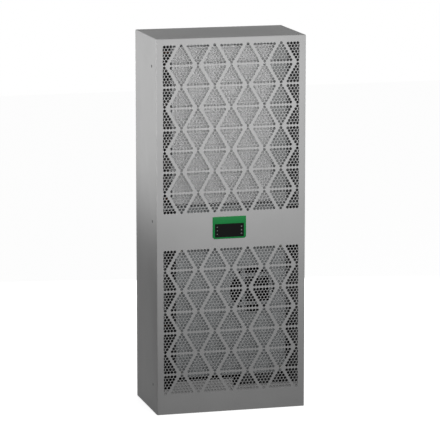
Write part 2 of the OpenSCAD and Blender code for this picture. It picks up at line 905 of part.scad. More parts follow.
// Half section of a can whose top edge is rounded
module can2d(r, h, edge) {
    square([r, h - edge]);
    square([r - edge, h]);
    translate([r - edge, h - edge]) intersection() {
        circle(r = edge);
        square(edge);
    }
}

// Outline of the mounting plate: three arms with round ends
module foot2d() {
    for (i = [0 : 2]) rotate(foot_turn + i * 120) {
        translate([0, -lug_r]) square([comp_foot_r, 2 * lug_r]);
        translate([comp_foot_r, 0]) circle(r = lug_r);
    }
}

module compressor() {
    color("#1F2021") {
        difference() {
            union() {
                translate([comp_x, comp_y, comp_foot_z + comp_foot_t])
                    rotate_extrude() can2d(comp_r, comp_h, comp_dome);
                translate([comp_x, comp_y, comp_foot_z]) linear_extrude(comp_foot_t) foot2d();
                translate([neck_x, comp_y, comp_foot_z + comp_h]) cylinder(r = neck_r, h = comp_dome);
                translate([tcover_x, comp_y, comp_foot_z + comp_h - comp_dome])
                    cylinder(r = tcover_r, h = comp_foot_t + comp_dome + tcover_lift);
            }
            for (p = bolt_spots) translate([p.x, p.y, comp_foot_z - over])
                cylinder(r = bush_neck_r + run_gap, h = comp_foot_t + 2 * over);
        }
    }
}

module compressor_bushes() {
    color("#141414") for (p = bolt_spots) translate([p.x, p.y, floor_t]) difference() {
        union() {
            cylinder(r = bush_r, h = comp_foot_z - floor_t);
            cylinder(r = bush_neck_r, h = comp_foot_z - floor_t + comp_foot_t);
            translate([0, 0, comp_foot_z - floor_t + comp_foot_t]) cylinder(r = bush_r, h = bush_lip);
        }
        translate([0, 0, -over]) cylinder(r = bolt_r + run_gap, h = body_h / 2);
    }
}

nut_h = 5;
nut_af_r = 5.8;
module compressor_bolts() {
    top = comp_foot_z + comp_foot_t + bush_lip;
    color("#C9C7BE") for (p = bolt_spots) translate([p.x, p.y, 0]) {
        cylinder(r = bolt_r, h = top + 2 * nut_h);
        translate([0, 0, top]) cylinder(r = nut_af_r, h = nut_h, $fn = 6);
    }
}

tcover_r = 17;
tcover_h = 12;
tcover_lift = 2;
module compressor_terminal_cover() {
    color("#26282A") translate([tcover_x, comp_y, comp_foot_z + comp_foot_t + comp_h + tcover_lift])
        cylinder(r = tcover_r, h = tcover_h);
}

module accumulator() {
    color("#232425") translate([acc_x, acc_y, acc_z]) rotate_extrude() {
        square([acc_r, acc_h - acc_cone]);
        intersection() {
            translate([0, acc_h - acc_cone]) circle(r = acc_r);
            translate([0, acc_h - acc_cone]) square([acc_r, acc_cone]);
        }
    }
}

// Pipe places
elbow = 12;
grommet_r = 8;
grommet_lip = 1.5;
side_pipe_in = 22.5;
side_pipe_x = side_pipe_in - half_w;
liquid_gap = 6.2;
liquid_y = cond_y1 + liquid_gap;
discharge_share = 6 / 13;
discharge_y = liquid_y + discharge_share * (split_y - liquid_y);
pipe_lead = 2;
discharge_z = comp_foot_z + comp_h + comp_dome + elbow + pipe_lead;
suction_in = 37.5;
suction_side_x = suction_in - half_w;
suction_lift = 24;
suction_over_z = shelf_z + suction_lift;
link_z = 38;
link_gap = 0.3;
capillary_r = 1.5;
capillary_in = 55.5;
capillary_y = back_in_y - capillary_in;
capillary_drop = 26;
capillary_z = shelf_z - capillary_drop;
capillary_elbow = 8;
drier_r = 12;
drier_z0 = 320;
drier_h = 96;
drier_cone = 14;

function row_y(mid, r) = mid + (r - (cond_rows - 1) / 2) * row_pitch;

// Joins the other row's tube end to a pipe that runs past it along y
module branch(x0, x1, mid, z, r) {
    translate([x0, row_y(mid, 1), z]) rotate([0, 90, 0]) cylinder(r = r, h = x1 - x0);
}

module discharge_pipe() {
    end_x = cond_x0 - tube_out;
    end_z = cond_z0 + (cond_fit - 1 / 2) * tube_pitch;
    color("#B5713F") {
        pipe_run([
            [neck_x, comp_y, comp_foot_z + comp_h + comp_dome],
            [neck_x, comp_y, discharge_z],
            [neck_x, discharge_y, discharge_z],
            [side_pipe_x, discharge_y, discharge_z],
            [side_pipe_x, discharge_y, end_z],
            [side_pipe_x, row_y(cond_mid_y, 0), end_z],
            [end_x, row_y(cond_mid_y, 0), end_z]
        ], pipe_r, elbow);
        branch(side_pipe_x, end_x, cond_mid_y, end_z, pipe_r);
    }
}

module liquid_pipe() {
    start_x = cond_x0 - tube_out;
    start_z = cond_z0 + tube_pitch / 2;
    color("#B5713F") {
        pipe_run([
            [start_x, row_y(cond_mid_y, 0), start_z],
            [side_pipe_x, row_y(cond_mid_y, 0), start_z],
            [side_pipe_x, liquid_y, start_z],
            [side_pipe_x, liquid_y, drier_z0 + drier_h]
        ], pipe_r, elbow);
        branch(side_pipe_x, start_x, cond_mid_y, start_z, pipe_r);
    }
}

module filter_drier() {
    color("#C27E4A") translate([side_pipe_x, liquid_y, drier_z0]) rotate_extrude() {
        polygon([
            [0, 0], [pipe_r, 0], [drier_r, drier_cone], [drier_r, drier_h - drier_cone],
            [pipe_r, drier_h], [0, drier_h]
        ]);
    }
}

module capillary_tube() {
    end_x = evap_x0 - tube_out;
    end_z = evap_z0 + tube_pitch / 2;
    color("#C27E4A") {
        pipe_run([
            [side_pipe_x, liquid_y, drier_z0],
            [side_pipe_x, liquid_y, capillary_z],
            [side_pipe_x, capillary_y, capillary_z],
            [side_pipe_x, capillary_y, end_z],
            [side_pipe_x, row_y(evap_mid_y, 1), end_z],
            [end_x, row_y(evap_mid_y, 1), end_z]
        ], capillary_r, capillary_elbow);
        translate([side_pipe_x, row_y(evap_mid_y, 0), end_z]) rotate([0, 90, 0])
            cylinder(r = capillary_r, h = end_x - side_pipe_x);
    }
}

module suction_pipe() {
    start_x = evap_x0 - tube_out;
    start_z = evap_z0 + (evap_tubes - 1 / 2) * tube_pitch;
    shell_x = comp_x + sqrt(pow(comp_r, 2) - pow(acc_y - comp_y - pipe_r, 2)) + link_gap;
    color("#B5713F") {
        pipe_run([
            [start_x, row_y(evap_mid_y, 1), start_z],
            [suction_side_x, row_y(evap_mid_y, 1), start_z],
            [suction_side_x, acc_y, start_z],
            [suction_side_x, acc_y, suction_over_z],
            [acc_x, acc_y, suction_over_z],
            [acc_x, acc_y, acc_z + acc_h]
        ], pipe_r, elbow);
        branch(suction_side_x, start_x, evap_mid_y - row_pitch, start_z, pipe_r);
        pipe_run([[acc_x, acc_y, acc_z], [acc_x, acc_y, link_z], [shell_x, acc_y, link_z]], pipe_r, elbow);
    }
}

// High-pressure switch beside the hot gas pipe
switch_r = 9;
switch_neck_r = 3;
switch_neck = 8;
switch_len = 20;
switch_z = 640;
module pressure_switch() {
    y0 = discharge_y + pipe_r + link_gap;
    color("#B8A65A") rod_y(side_pipe_x, switch_z, switch_neck_r, y0, y0 + switch_neck);
    color("#26282A") rod_y(side_pipe_x, switch_z, switch_r, y0 + switch_neck, y0 + switch_neck + switch_len);
}

// Rubber ring with a lip on both sides of the sheet it sits in, drawn along +z
module grommet(pipe) {
    reach = chassis_t + 2 * slide_gap;
    translate([0, 0, -slide_gap]) difference() {
        union() {
            cylinder(r = grommet_r - run_gap, h = reach);
            translate([0, 0, -grommet_lip]) cylinder(r = grommet_r + grommet_lip, h = grommet_lip);
            translate([0, 0, reach]) cylinder(r = grommet_r + grommet_lip, h = grommet_lip);
        }
        translate([0, 0, -grommet_lip - over])
            cylinder(r = pipe + run_gap, h = reach + 2 * grommet_lip + 2 * over);
    }
}

module pipe_grommets() {
    color("#141414") {
        translate([panel_x0, discharge_y, discharge_z]) rotate([0, 90, 0]) grommet(pipe_r);
        translate([acc_x, acc_y, shelf_z]) grommet(pipe_r);
        translate([side_pipe_x, capillary_y, shelf_z]) grommet(capillary_r);
    }
}

// Electric box, open at the front, with a cut-out for the supply terminals in its rear wall
ebox_y1 = back_in_y - slide_gap;
wire_x = (ebox_x0 + ebox_x1) / 2;
module electric_box() {
    color("#C4C6C5") difference() {
        slab([ebox_x0, ebox_y0, ebox_z0], [ebox_x1, ebox_y1, ebox_z1]);
        slab([ebox_x0 + ebox_t, ebox_y0 - over, ebox_z0 + ebox_t],
             [ebox_x1 - ebox_t, ebox_y1 - ebox_t, ebox_z1 - ebox_t]);
        slab([wire_x - wire_w / 2, ebox_y1 - ebox_t - over, wire_z - wire_h / 2],
             [wire_x + wire_w / 2, ebox_y1 + over, wire_z + wire_h / 2]);
    }
}

lid_lip = 10;
module electric_box_lid() {
    x0 = ebox_x0 - ebox_t - slide_gap;
    z0 = ebox_z0 - ebox_t - slide_gap;
    x1 = ebox_x1 + ebox_t + slide_gap;
    z1 = ebox_z1 + ebox_t + slide_gap;
    y0 = ebox_y0 - ebox_t - slide_gap;
    color("#BFC1C0") difference() {
        slab([x0, y0, z0], [x1, y0 + lid_lip, z1]);
        slab([x0 + ebox_t, y0 + ebox_t, z0 + ebox_t], [x1 - ebox_t, y0 + lid_lip + over, z1 - ebox_t]);
    }
}

cap_side = 26;
cap_in = 62;
run_cap_x = ebox_x0 + cap_side;
run_cap_y = ebox_y0 + cap_in;
module run_capacitor() {
    z0 = ebox_z0 + ebox_t + slide_gap;
    color("#D8DADA") translate([run_cap_x, run_cap_y, z0]) cylinder(r = cap_r, h = cap_h);
    color("#2A2B2C") for (s = [-1, 1]) translate([run_cap_x + s * cap_r / 3, run_cap_y, z0 + cap_h])
        cylinder(r = tag_r, h = tag_h);
}

tag_r = 2;
tag_h = 8;
relay_w = 44;
relay_d = 58;
relay_h = 76;
relay_step = 16;
relay_side = 52;
relay_in = 36;
relay_x = ebox_x0 + relay_side;
relay_y = ebox_y0 + relay_in;
module contactor() {
    z0 = ebox_z0 + ebox_t + slide_gap;
    color("#3C3E40") {
        slab([relay_x, relay_y, z0], [relay_x + relay_w, relay_y + relay_d, z0 + relay_h - relay_step]);
        slab([relay_x, relay_y + relay_step, z0 + relay_h - relay_step],
             [relay_x + relay_w, relay_y + relay_d - relay_step, z0 + relay_h]);
    }
}

// Supply terminals, set back in a frame behind the cut-out in the chassis
poles = 7;
pole_r = 3;
pole_deep = 5;
block_rim = 2.5;
block_d = 30;
module terminal_block() {
    y1 = ebox_y1 - ebox_t - slide_gap;
    face_y = back_y - wire_recess;
    color("#5B6E57") difference() {
        slab([wire_x - wire_w / 2 - block_rim, y1 - block_d, wire_z - wire_h / 2 - block_rim],
             [wire_x + wire_w / 2 + block_rim, y1, wire_z + wire_h / 2 + block_rim]);
        slab([wire_x - wire_w / 2, face_y, wire_z - wire_h / 2],
             [wire_x + wire_w / 2, y1 + over, wire_z + wire_h / 2]);
        for (i = [0 : poles - 1], s = [-1, 1])
            rod_y(wire_x + (i - (poles - 1) / 2) * wire_w / poles, wire_z + s * wire_h / 4, pole_r,
                  face_y - pole_deep, face_y + over);
    }
}

// Display outline: nearly square upper corners, cut lower corners
module bezel2d() {
    x = bezel_w / 2;
    shoulder = bezel_h - bezel_corner_r;
    translate([bezel_x, bezel_z]) {
        polygon([
            [bezel_chamfer - x, 0], [x - bezel_chamfer, 0], [x, bezel_chamfer], [x, shoulder],
            [x - bezel_corner_r, shoulder], [x - bezel_corner_r, bezel_h],
            [bezel_corner_r - x, bezel_h], [bezel_corner_r - x, shoulder],
            [-x, shoulder], [-x, bezel_chamfer]
        ]);
        for (s = [-1, 1]) translate([s * (x - bezel_corner_r), shoulder]) circle(r = bezel_corner_r);
    }
}

// Rectangle of the bezel's body, smaller all round by the given inset
module body2d(inset) {
    translate([bezel_x, bezel_mid_z]) square([bezel_w - 2 * inset, bezel_h - 2 * inset], center = true);
}

module window2d(inset) {
    translate([bezel_x, window_mid_z]) square([window_w - 2 * inset, window_h - 2 * inset], center = true);
}

ledge = 1.5;
module display_bezel() {
    color("#0E8A3C") {
        upright(bezel_y, bezel_proud) difference() {
            bezel2d();
            window2d(0);
        }
        upright(front_y, window_back_y - front_y) difference() {
            body2d(bezel_inset + cut_gap);
            window2d(0);
        }
        upright(window_back_y, front_y + bezel_sink - window_back_y) difference() {
            body2d(bezel_inset + cut_gap);
            window2d(ledge);
        }
    }
}

key_zs = [for (i = [1, 0, -1]) window_mid_z + i * key_pitch];

module display_window() {
    color("#17181A") difference() {
        upright(window_y, window_t) difference() {
            window2d(window_gap);
            for (z = key_zs) {
                translate([key_x, z]) circle(r = key_r + key_gap);
                translate([lamp_x, z]) circle(r = lamp_r + window_gap);
            }
        }
    }
}

board_y = front_y + bezel_sink + board_gap;
module status_lamps() {
    color("#9DA39C") for (z = key_zs) rod_y(lamp_x, z, lamp_r, window_y, board_y);
}

contact_h = 2.5;
contact_r = 1.7;
stem_r = 1.3;
module key_at(z) {
    y0 = window_y - key_proud;
    y1 = window_back_y + key_back;
    color("#8F9492") {
        rod_y(key_x, z, key_r, y0, y1);
        rod_y(key_x, z, key_flange_r, y1, y1 + key_flange_t);
        rod_y(key_x, z, stem_r, y1 + key_flange_t, board_y - contact_h - key_travel - key_back);
    }
}

module key_up() {
    key_at(key_zs[0]);
}

module key_set() {
    key_at(key_zs[1]);
}

module key_down() {
    key_at(key_zs[2]);
}

board_in = 1.2;
module display_board() {
    color("#1E5B35") upright(board_y, board_t) body2d(bezel_inset + cut_gap + housing_t + board_in);
    color("#2A2B2C") for (z = key_zs) rod_y(key_x, z, contact_r, board_y - contact_h, board_y);
}

module display_housing() {
    y0 = front_y + bezel_sink;
    y1 = board_y + board_t + slide_gap;
    color("#1A1B1C") {
        upright(y0, y1 - y0) difference() {
            body2d(bezel_inset + cut_gap);
            body2d(bezel_inset + cut_gap + housing_t);
        }
        upright(y1, housing_t) body2d(bezel_inset + cut_gap);
    }
}

probe_r = 3;
probe_len = 32;
probe_right = 72.5;
probe_x = half_w - probe_right;
module temperature_probe() {
    color("#C9CBCC") translate([probe_x, split_back_y + slide_gap + probe_r, evap_fan_z])
        cylinder(r = probe_r, h = probe_len);
}

front_cover();
cover_screws();
rear_chassis();
base_tray();
rear_gasket();
rivet_nuts();
mid_partition();
coil_sill();
coil_top_plate();
fan_panel();
plenum_wall();
panel_screws();
condenser_coil();
condenser_end_plates();
condenser_bends();
coil_side_filler();
condenser_inlet_ring();
condenser_fan_guard();
condenser_impeller();
condenser_rotor();
condenser_stator();
condenser_motor_bracket();
evaporator_coil();
evaporator_end_plates();
evaporator_bends();
evaporator_top_plate();
evaporator_inlet_ring();
evaporator_impeller();
evaporator_rotor();
evaporator_stator();
evaporator_motor_bracket();
drip_tray();
drain_hose();
drain_spout();
compressor();
compressor_bushes();
compressor_bolts();
compressor_terminal_cover();
accumulator();
discharge_pipe();
liquid_pipe();
filter_drier();
capillary_tube();
suction_pipe();
pressure_switch();
pipe_grommets();
electric_box();
electric_box_lid();
run_capacitor();
contactor();
terminal_block();
display_bezel();
display_window();
status_lamps();
key_up();
key_set();
key_down();
display_board();
display_housing();
temperature_probe();
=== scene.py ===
"""Upright enclosure cooling unit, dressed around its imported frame. Metres, +Z up, the front faces -Y."""

import math

import bmesh
import bpy
from mathutils import Matrix, Vector


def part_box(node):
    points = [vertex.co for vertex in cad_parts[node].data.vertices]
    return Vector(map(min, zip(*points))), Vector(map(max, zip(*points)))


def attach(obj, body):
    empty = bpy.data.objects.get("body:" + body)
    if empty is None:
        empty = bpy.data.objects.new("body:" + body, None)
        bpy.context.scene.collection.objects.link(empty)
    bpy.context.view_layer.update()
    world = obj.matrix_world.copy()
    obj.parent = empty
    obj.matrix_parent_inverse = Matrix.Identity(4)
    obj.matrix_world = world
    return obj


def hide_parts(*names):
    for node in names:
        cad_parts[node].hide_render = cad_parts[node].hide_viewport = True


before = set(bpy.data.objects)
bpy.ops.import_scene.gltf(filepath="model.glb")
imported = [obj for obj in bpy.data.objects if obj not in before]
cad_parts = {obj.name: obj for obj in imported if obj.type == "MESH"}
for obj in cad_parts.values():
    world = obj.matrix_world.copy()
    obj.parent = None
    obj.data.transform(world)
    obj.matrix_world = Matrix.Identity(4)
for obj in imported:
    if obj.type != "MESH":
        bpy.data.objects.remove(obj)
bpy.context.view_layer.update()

# Base tray
# A folded sheet-steel tray closes the unit below and carries the compressor. Its front flange shows
# through the lowest holes of the cover. It is polyester powder coated, like the chassis and the cover.
MM = 0.001
# The coat's peel and matting filler break the reflection up, most of all along the surface
COAT_SPECULAR = 0.15


def feed(node, inputs):
    """Sets inputs of a node, each to a value, a socket that feeds it, or a node whose first output does."""
    for socket, value in inputs.items():
        if isinstance(value, bpy.types.Node):
            value = value.outputs[0]
        if isinstance(value, bpy.types.NodeSocket):
            node.id_data.links.new(value, node.inputs[socket])
        else:
            node.inputs[socket].default_value = value


def put(tree, kind, inputs=None, **settings):
    """Adds a node with its settings and its inputs."""
    new = tree.nodes.new(kind)
    for name, value in settings.items():
        setattr(new, name, value)
    feed(new, inputs or {})
    return new


def paint(code):
    """The linear colour, with alpha 1, of an sRGB hex code."""
    shares = [int(code[i : i + 2], 16) / 255 for i in (1, 3, 5)]
    return [s / 12.92 if s <= 0.04045 else ((s + 0.055) / 1.055) ** 2.4 for s in shares] + [1]


def finish(name, roughness=0.5, metallic=0.0, ior=1.5, specular=0.5):
    """A new material, its tree, its shader and the object coordinates that its patterns follow."""
    made = bpy.data.materials.new(name)
    made.use_nodes = True
    shader = made.node_tree.nodes["Principled BSDF"]
    feed(shader, {"Roughness": roughness, "Metallic": metallic, "IOR": ior, "Specular IOR Level": specular})
    place = put(made.node_tree, "ShaderNodeTexCoord").outputs["Object"]
    return made, made.node_tree, shader, place


def powder_coat(name, colour, shaded):
    """Polyester powder, sprayed and baked on zinc-primed steel.

    It gives the eye a satin grey with a fine orange peel, a little uneven from panel to panel.
    """
    made, tree, shader, place = finish(name, specular=COAT_SPECULAR)
    cloud = put(tree, "ShaderNodeTexNoise", {"Vector": place, "Scale": 1 / (120 * MM), "Detail": 2.0})
    tone = put(tree, "ShaderNodeMapRange", {"Value": cloud, "From Min": 0.35, "From Max": 0.65})
    mixed = put(
        tree, "ShaderNodeMix", {"Factor": tone, "A": paint(colour), "B": paint(shaded)}, data_type="RGBA"
    )
    # Real peel has a period of about 1.5 mm: it is drawn at 2.5 mm so that it shows
    peel = put(tree, "ShaderNodeTexNoise", {"Vector": place, "Scale": 1 / (2.5 * MM), "Detail": 3.0})
    grain = put(tree, "ShaderNodeTexNoise", {"Vector": place, "Scale": 1 / (0.6 * MM), "Detail": 1.0})
    both = put(tree, "ShaderNodeMath", {0: grain, 1: 0.3, 2: peel}, operation="MULTIPLY_ADD")
    bump = put(tree, "ShaderNodeBump", {"Height": both, "Strength": 0.12, "Distance": 0.1 * MM})
    gloss = put(tree, "ShaderNodeMapRange", {"Value": peel, "To Min": 0.54, "To Max": 0.66})
    feed(shader, {"Base Color": mixed.outputs["Result"], "Normal": bump, "Roughness": gloss})
    return made


def dress(material, *nodes):
    """Puts a finish on CAD nodes that keep their own shape."""
    for name in nodes:
        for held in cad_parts[name].material_slots:
            held.material = material


dress(powder_coat("tray_powder_coat", "#A7A7A7", "#A0A0A0"), "base_tray")

# Rear chassis
# A tub of one folded sheet: back wall, sides and top. It carries the partition and both circuits, and
# 9 mm of it shows behind the cover. The back has the two air openings, the terminal recess and the nuts.
# The chassis coat is painted darker than the cover's, as painted shade for the thin dark line where it shows
# behind the cover.
dress(powder_coat("chassis_coat_and_painted_shade", "#A3A3A3", "#9B9B9B"), "rear_chassis")

# Sealing strip
# A strip of closed-cell foam rubber, cut from sheet and glued round the rear face, which the mounting
# presses flat against the enclosure wall.


def foam(name, colour, pore):
    """Closed-cell foam rubber, split from a block, so its face is matt and full of cut cells."""
    made, tree, shader, place = finish(name, roughness=0.92)
    cells = put(tree, "ShaderNodeTexVoronoi", {"Vector": place, "Scale": 1 / (1.2 * MM)})
    tone = put(tree, "ShaderNodeMapRange", {"Value": cells, "From Min": 0.1, "From Max": 0.6})
    mixed = put(
        tree, "ShaderNodeMix", {"Factor": tone, "A": paint(pore), "B": paint(colour)}, data_type="RGBA"
    )
    bump = put(tree, "ShaderNodeBump", {"Height": cells, "Strength": 0.5, "Distance": 0.3 * MM})
    feed(shader, {"Base Color": mixed.outputs["Result"], "Normal": bump})
    return made


dress(foam("sealing_foam", "#2B2C2D", "#161718"), "rear_gasket")

# Rivet nuts and other plated fasteners
# Zinc-plated steel, turned or headed: rivet nuts in the back wall, pan screws round the fan panel, the
# compressor's foot bolts, and the probe's plated sleeve.


def plated(name, colour, dull):
    """Bright zinc plated on steel: pale, slightly yellow, glossy in some patches and dull in others."""
    made, tree, shader, place = finish(name, metallic=0.9)
    cloud = put(tree, "ShaderNodeTexNoise", {"Vector": place, "Scale": 1 / (4 * MM), "Detail": 4.0})
    mixed = put(
        tree, "ShaderNodeMix", {"Factor": cloud, "A": paint(colour), "B": paint(dull)}, data_type="RGBA"
    )
    rough = put(tree, "ShaderNodeMapRange", {"Value": cloud, "To Min": 0.25, "To Max": 0.5})
    feed(shader, {"Base Color": mixed.outputs["Result"], "Roughness": rough})
    return made


dress(
    plated("zinc_plate", "#CFCDC4", "#A9A79E"),
    "rivet_nuts",
    "panel_screws",
    "compressor_bolts",
    "temperature_probe",
)

# Inner sheet metal
# The partition with its shelf, the coils' sill and top plates, the fan panel and the plenum wall are cut
# and folded from hot-dip galvanised steel and left bare. The filler beside the coil is powder coated.


def galvanised(name, colour, spangle, dull):
    """Hot-dip galvanised sheet: grey zinc crystals a centimetre wide, each a little lighter or darker."""
    made, tree, shader, place = finish(name, metallic=0.25)
    bent = put(tree, "ShaderNodeTexNoise", {"Vector": place, "Scale": 1 / (15 * MM), "Detail": 2.0})
    pushed = put(
        tree,
        "ShaderNodeVectorMath",
        {0: bent.outputs["Color"], 1: (6 * MM, 6 * MM, 6 * MM), 2: place},
        operation="MULTIPLY_ADD",
    )
    crystal = put(tree, "ShaderNodeTexVoronoi", {"Vector": pushed, "Scale": 1 / (9 * MM)})
    grey = put(tree, "ShaderNodeSeparateColor", {"Color": crystal.outputs["Color"]})
    first = put(
        tree, "ShaderNodeMix", {"Factor": grey, "A": paint(colour), "B": paint(spangle)}, data_type="RGBA"
    )
    haze = put(tree, "ShaderNodeTexNoise", {"Vector": place, "Scale": 1 / (80 * MM), "Detail": 3.0})
    veil = put(tree, "ShaderNodeMapRange", {"Value": haze, "From Min": 0.45, "From Max": 0.7, "To Max": 0.5})
    mixed = put(
        tree,
        "ShaderNodeMix",
        {"Factor": veil, "A": first.outputs["Result"], "B": paint(dull)},
        data_type="RGBA",
    )
    rough = put(tree, "ShaderNodeMapRange", {"Value": grey.outputs["Green"], "To Min": 0.36, "To Max": 0.58})
    feed(shader, {"Base Color": mixed.outputs["Result"], "Roughness": rough})
    return made


zinc_sheet = galvanised("galvanised_sheet", "#8F9293", "#A0A3A4", "#808384")
dress(
    zinc_sheet,
    "mid_partition",
    "coil_sill",
    "coil_top_plate",
    "evaporator_top_plate",
    "fan_panel",
    "plenum_wall",
)
dress(powder_coat("filler_powder_coat", "#929494", "#8B8D8D"), "coil_side_filler")

# Compressor
# A hermetic rotary compressor in a black enamelled can, with its suction accumulator beside it, on
# three rubber bushes. A moulded cap covers its terminals.


def enamel(name, colour, sheen, roughness=0.3, specular=0.5):
    """Dark enamel or lacquer sprayed on metal: deep, half glossy, with a soft orange peel.

    With more roughness it also stands for steel that is blackened and oiled.
    """
    made, tree, shader, place = finish(name, roughness=roughness, specular=specular)
    cloud = put(tree, "ShaderNodeTexNoise", {"Vector": place, "Scale": 1 / (25 * MM), "Detail": 4.0})
    mixed = put(
        tree, "ShaderNodeMix", {"Factor": cloud, "A": paint(colour), "B": paint(sheen)}, data_type="RGBA"
    )
    peel = put(tree, "ShaderNodeTexNoise", {"Vector": place, "Scale": 1 / (3 * MM), "Detail": 2.0})
    bump = put(tree, "ShaderNodeBump", {"Height": peel, "Strength": 0.2, "Distance": 0.2 * MM})
    feed(shader, {"Base Color": mixed.outputs["Result"], "Normal": bump})
    return made


def moulded(name, colour, worn, roughness=0.55, spark=0.4, specular=0.5):
    """Plastic or rubber moulded in a spark-eroded tool: even in colour, matt, grained at so many mm.

    With a coarser grain it also stands for cast acrylic, printed ink and the resist on a board.
    """
    made, tree, shader, place = finish(name, roughness=roughness, ior=1.53, specular=specular)
    cloud = put(tree, "ShaderNodeTexNoise", {"Vector": place, "Scale": 1 / (18 * MM), "Detail": 3.0})
    mixed = put(
        tree, "ShaderNodeMix", {"Factor": cloud, "A": paint(colour), "B": paint(worn)}, data_type="RGBA"
    )
    grain = put(tree, "ShaderNodeTexNoise", {"Vector": place, "Scale": 1 / (spark * MM), "Detail": 2.0})
    bump = put(tree, "ShaderNodeBump", {"Height": grain, "Strength": 0.25, "Distance": 0.05 * MM})
    feed(shader, {"Base Color": mixed.outputs["Result"], "Normal": bump})
    return made


black_rubber = moulded("moulded_rubber", "#1B1C1D", "#262728", roughness=0.8, spark=0.8)
black_plastic = moulded("black_polyamide", "#1A1B1D", "#232426")
dress(enamel("black_enamel", "#141517", "#1D1E21"), "compressor", "accumulator")
dress(black_rubber, "compressor_bushes")
dress(black_plastic, "compressor_terminal_cover")

# Refrigerant pipes
# Soft-drawn copper tube, bent cold and brazed, from the compressor through both coils. The drier is
# spun from the same copper, the pressure switch is brass, and rubber rings line the holes in the sheets.


def drawn_copper(name, bright, tarnish):
    """Copper or its alloy, handled and brazed: a warm metal with darker, duller tarnish in patches."""
    made, tree, shader, place = finish(name, metallic=1.0)
    patch = put(tree, "ShaderNodeTexNoise", {"Vector": place, "Scale": 1 / (12 * MM), "Detail": 5.0})
    tone = put(tree, "ShaderNodeMapRange", {"Value": patch, "From Min": 0.35, "From Max": 0.7})
    mixed = put(
        tree, "ShaderNodeMix", {"Factor": tone, "A": paint(bright), "B": paint(tarnish)}, data_type="RGBA"
    )
    rough = put(tree, "ShaderNodeMapRange", {"Value": tone, "To Min": 0.25, "To Max": 0.5})
    feed(shader, {"Base Color": mixed.outputs["Result"], "Roughness": rough})
    return made


dress(
    drawn_copper("drawn_copper", "#553C30", "#2C221D"),
    "discharge_pipe",
    "liquid_pipe",
    "suction_pipe",
    "capillary_tube",
    "filter_drier",
)
dress(drawn_copper("turned_brass", "#CDB371", "#97803F"), "pressure_switch")
dress(black_rubber, "pipe_grommets")

# Coils
# Each heat exchanger is a pack of pressed aluminium fins, rippled to stir the air, on two rows of
# tubes between galvanised tube sheets. The condenser's pack fills the view through the upper field.
TUBE_R = 4.75 * MM
TUBE_STEP = 26 * MM
TUBE_ROWS = 2
TUBE_ROW_STEP = 20 * MM
TUBE_SIDES = 16
# How far the tubes reach out of the fins at either end
TUBE_END = 5 * MM
# Real fins are about 0.15 mm thin and 2 mm apart: they are drawn coarser so that they show
FIN_STEP = 3.0 * MM
FIN_SHEET = 1.1 * MM
FIN_WAVE = 1.3 * MM
FIN_RIPPLES = 5
FIN_FACETS = 40


def fin_stock(name, colour, shade):
    """Rolled aluminium fin stock with a clear coating: pale, soft-shining, streaked along the rolling."""
    made, tree, shader, place = finish(name)
    long = put(tree, "ShaderNodeMapping", {"Vector": place, "Scale": (1.0, 1.0, 0.05)})
    streak = put(tree, "ShaderNodeTexNoise", {"Vector": long, "Scale": 1 / (2 * MM), "Detail": 3.0})
    mixed = put(
        tree, "ShaderNodeMix", {"Factor": streak, "A": paint(colour), "B": paint(shade)}, data_type="RGBA"
    )
    rough = put(tree, "ShaderNodeMapRange", {"Value": streak, "To Min": 0.36, "To Max": 0.52})
    feed(shader, {"Base Color": mixed.outputs["Result"], "Roughness": rough})
    return made


def new_tree(name, sizes):
    """A Geometry Nodes tree with a geometry, a material and named sizes as its inputs."""
    tree = bpy.data.node_groups.new(name, "GeometryNodeTree")
    for label, kind in {"Geometry": "Geometry", "Material": "Material", **sizes}.items():
        tree.interface.new_socket(label, in_out="INPUT", socket_type="NodeSocket" + kind)
    tree.interface.new_socket("Geometry", in_out="OUTPUT", socket_type="NodeSocketGeometry")
    return tree, put(tree, "NodeGroupInput").outputs


def end_tree(tree, made, material):
    """Ends a tree in Realize Instances and Set Material."""
    real = put(tree, "GeometryNodeRealizeInstances", {"Geometry": made})
    coated = put(tree, "GeometryNodeSetMaterial", {"Geometry": real, "Material": material})
    put(tree, "NodeGroupOutput", {"Geometry": coated})


def copies_tree():
    """Copies of the incoming mesh on a grid: so many along one step, and so many rows along another."""
    tree, given = new_tree(
        "copies_on_a_grid",
        {"Count": "Int", "Step": "Vector", "Rows": "Int", "Row step": "Vector", "Start": "Vector"},
    )
    row = put(
        tree,
        "GeometryNodeMeshLine",
        {"Count": given["Count"], "Start Location": given["Start"], "Offset": given["Step"]},
    )
    rows = put(tree, "GeometryNodeMeshLine", {"Count": given["Rows"], "Offset": given["Row step"]})
    placed = put(tree, "GeometryNodeInstanceOnPoints", {"Points": rows, "Instance": row})
    spots = put(tree, "GeometryNodeRealizeInstances", {"Geometry": placed})
    made = put(tree, "GeometryNodeInstanceOnPoints", {"Points": spots, "Instance": given["Geometry"]})
    end_tree(tree, made, given["Material"])
    return tree


def added(name, data):
    """A new object in the scene."""
    piece = bpy.data.objects.new(name, data)
    bpy.context.scene.collection.objects.link(piece)
    return piece


def settle(piece):
    """Turns what the piece's modifiers make into its own plain mesh."""
    seen = piece.evaluated_get(bpy.context.evaluated_depsgraph_get())
    piece.data = bpy.data.meshes.new_from_object(seen)
    piece.modifiers.clear()


def cover_in(piece, material):
    """Gives every face of a piece the one finish."""
    piece.data.materials.clear()
    piece.data.materials.append(material)
    piece.data.polygons.foreach_set("material_index", [0] * len(piece.data.polygons))


def grown(name, start, tree, sizes):
    """The plain mesh that a tree makes of a starting mesh, as a new object."""
    piece = added(name, start)
    grower = piece.modifiers.new(tree.name, "NODES")
    grower.node_group = tree
    for entry in tree.interface.items_tree:
        if entry.in_out == "INPUT" and entry.name in sizes:
            grower[entry.identifier] = sizes[entry.name]
    settle(piece)
    cover_in(piece, sizes["Material"])
    return piece


def one_mesh(name, bm):
    """Ends a bmesh as a mesh."""
    made = bpy.data.meshes.new(name)
    bm.to_mesh(made)
    bm.free()
    return made


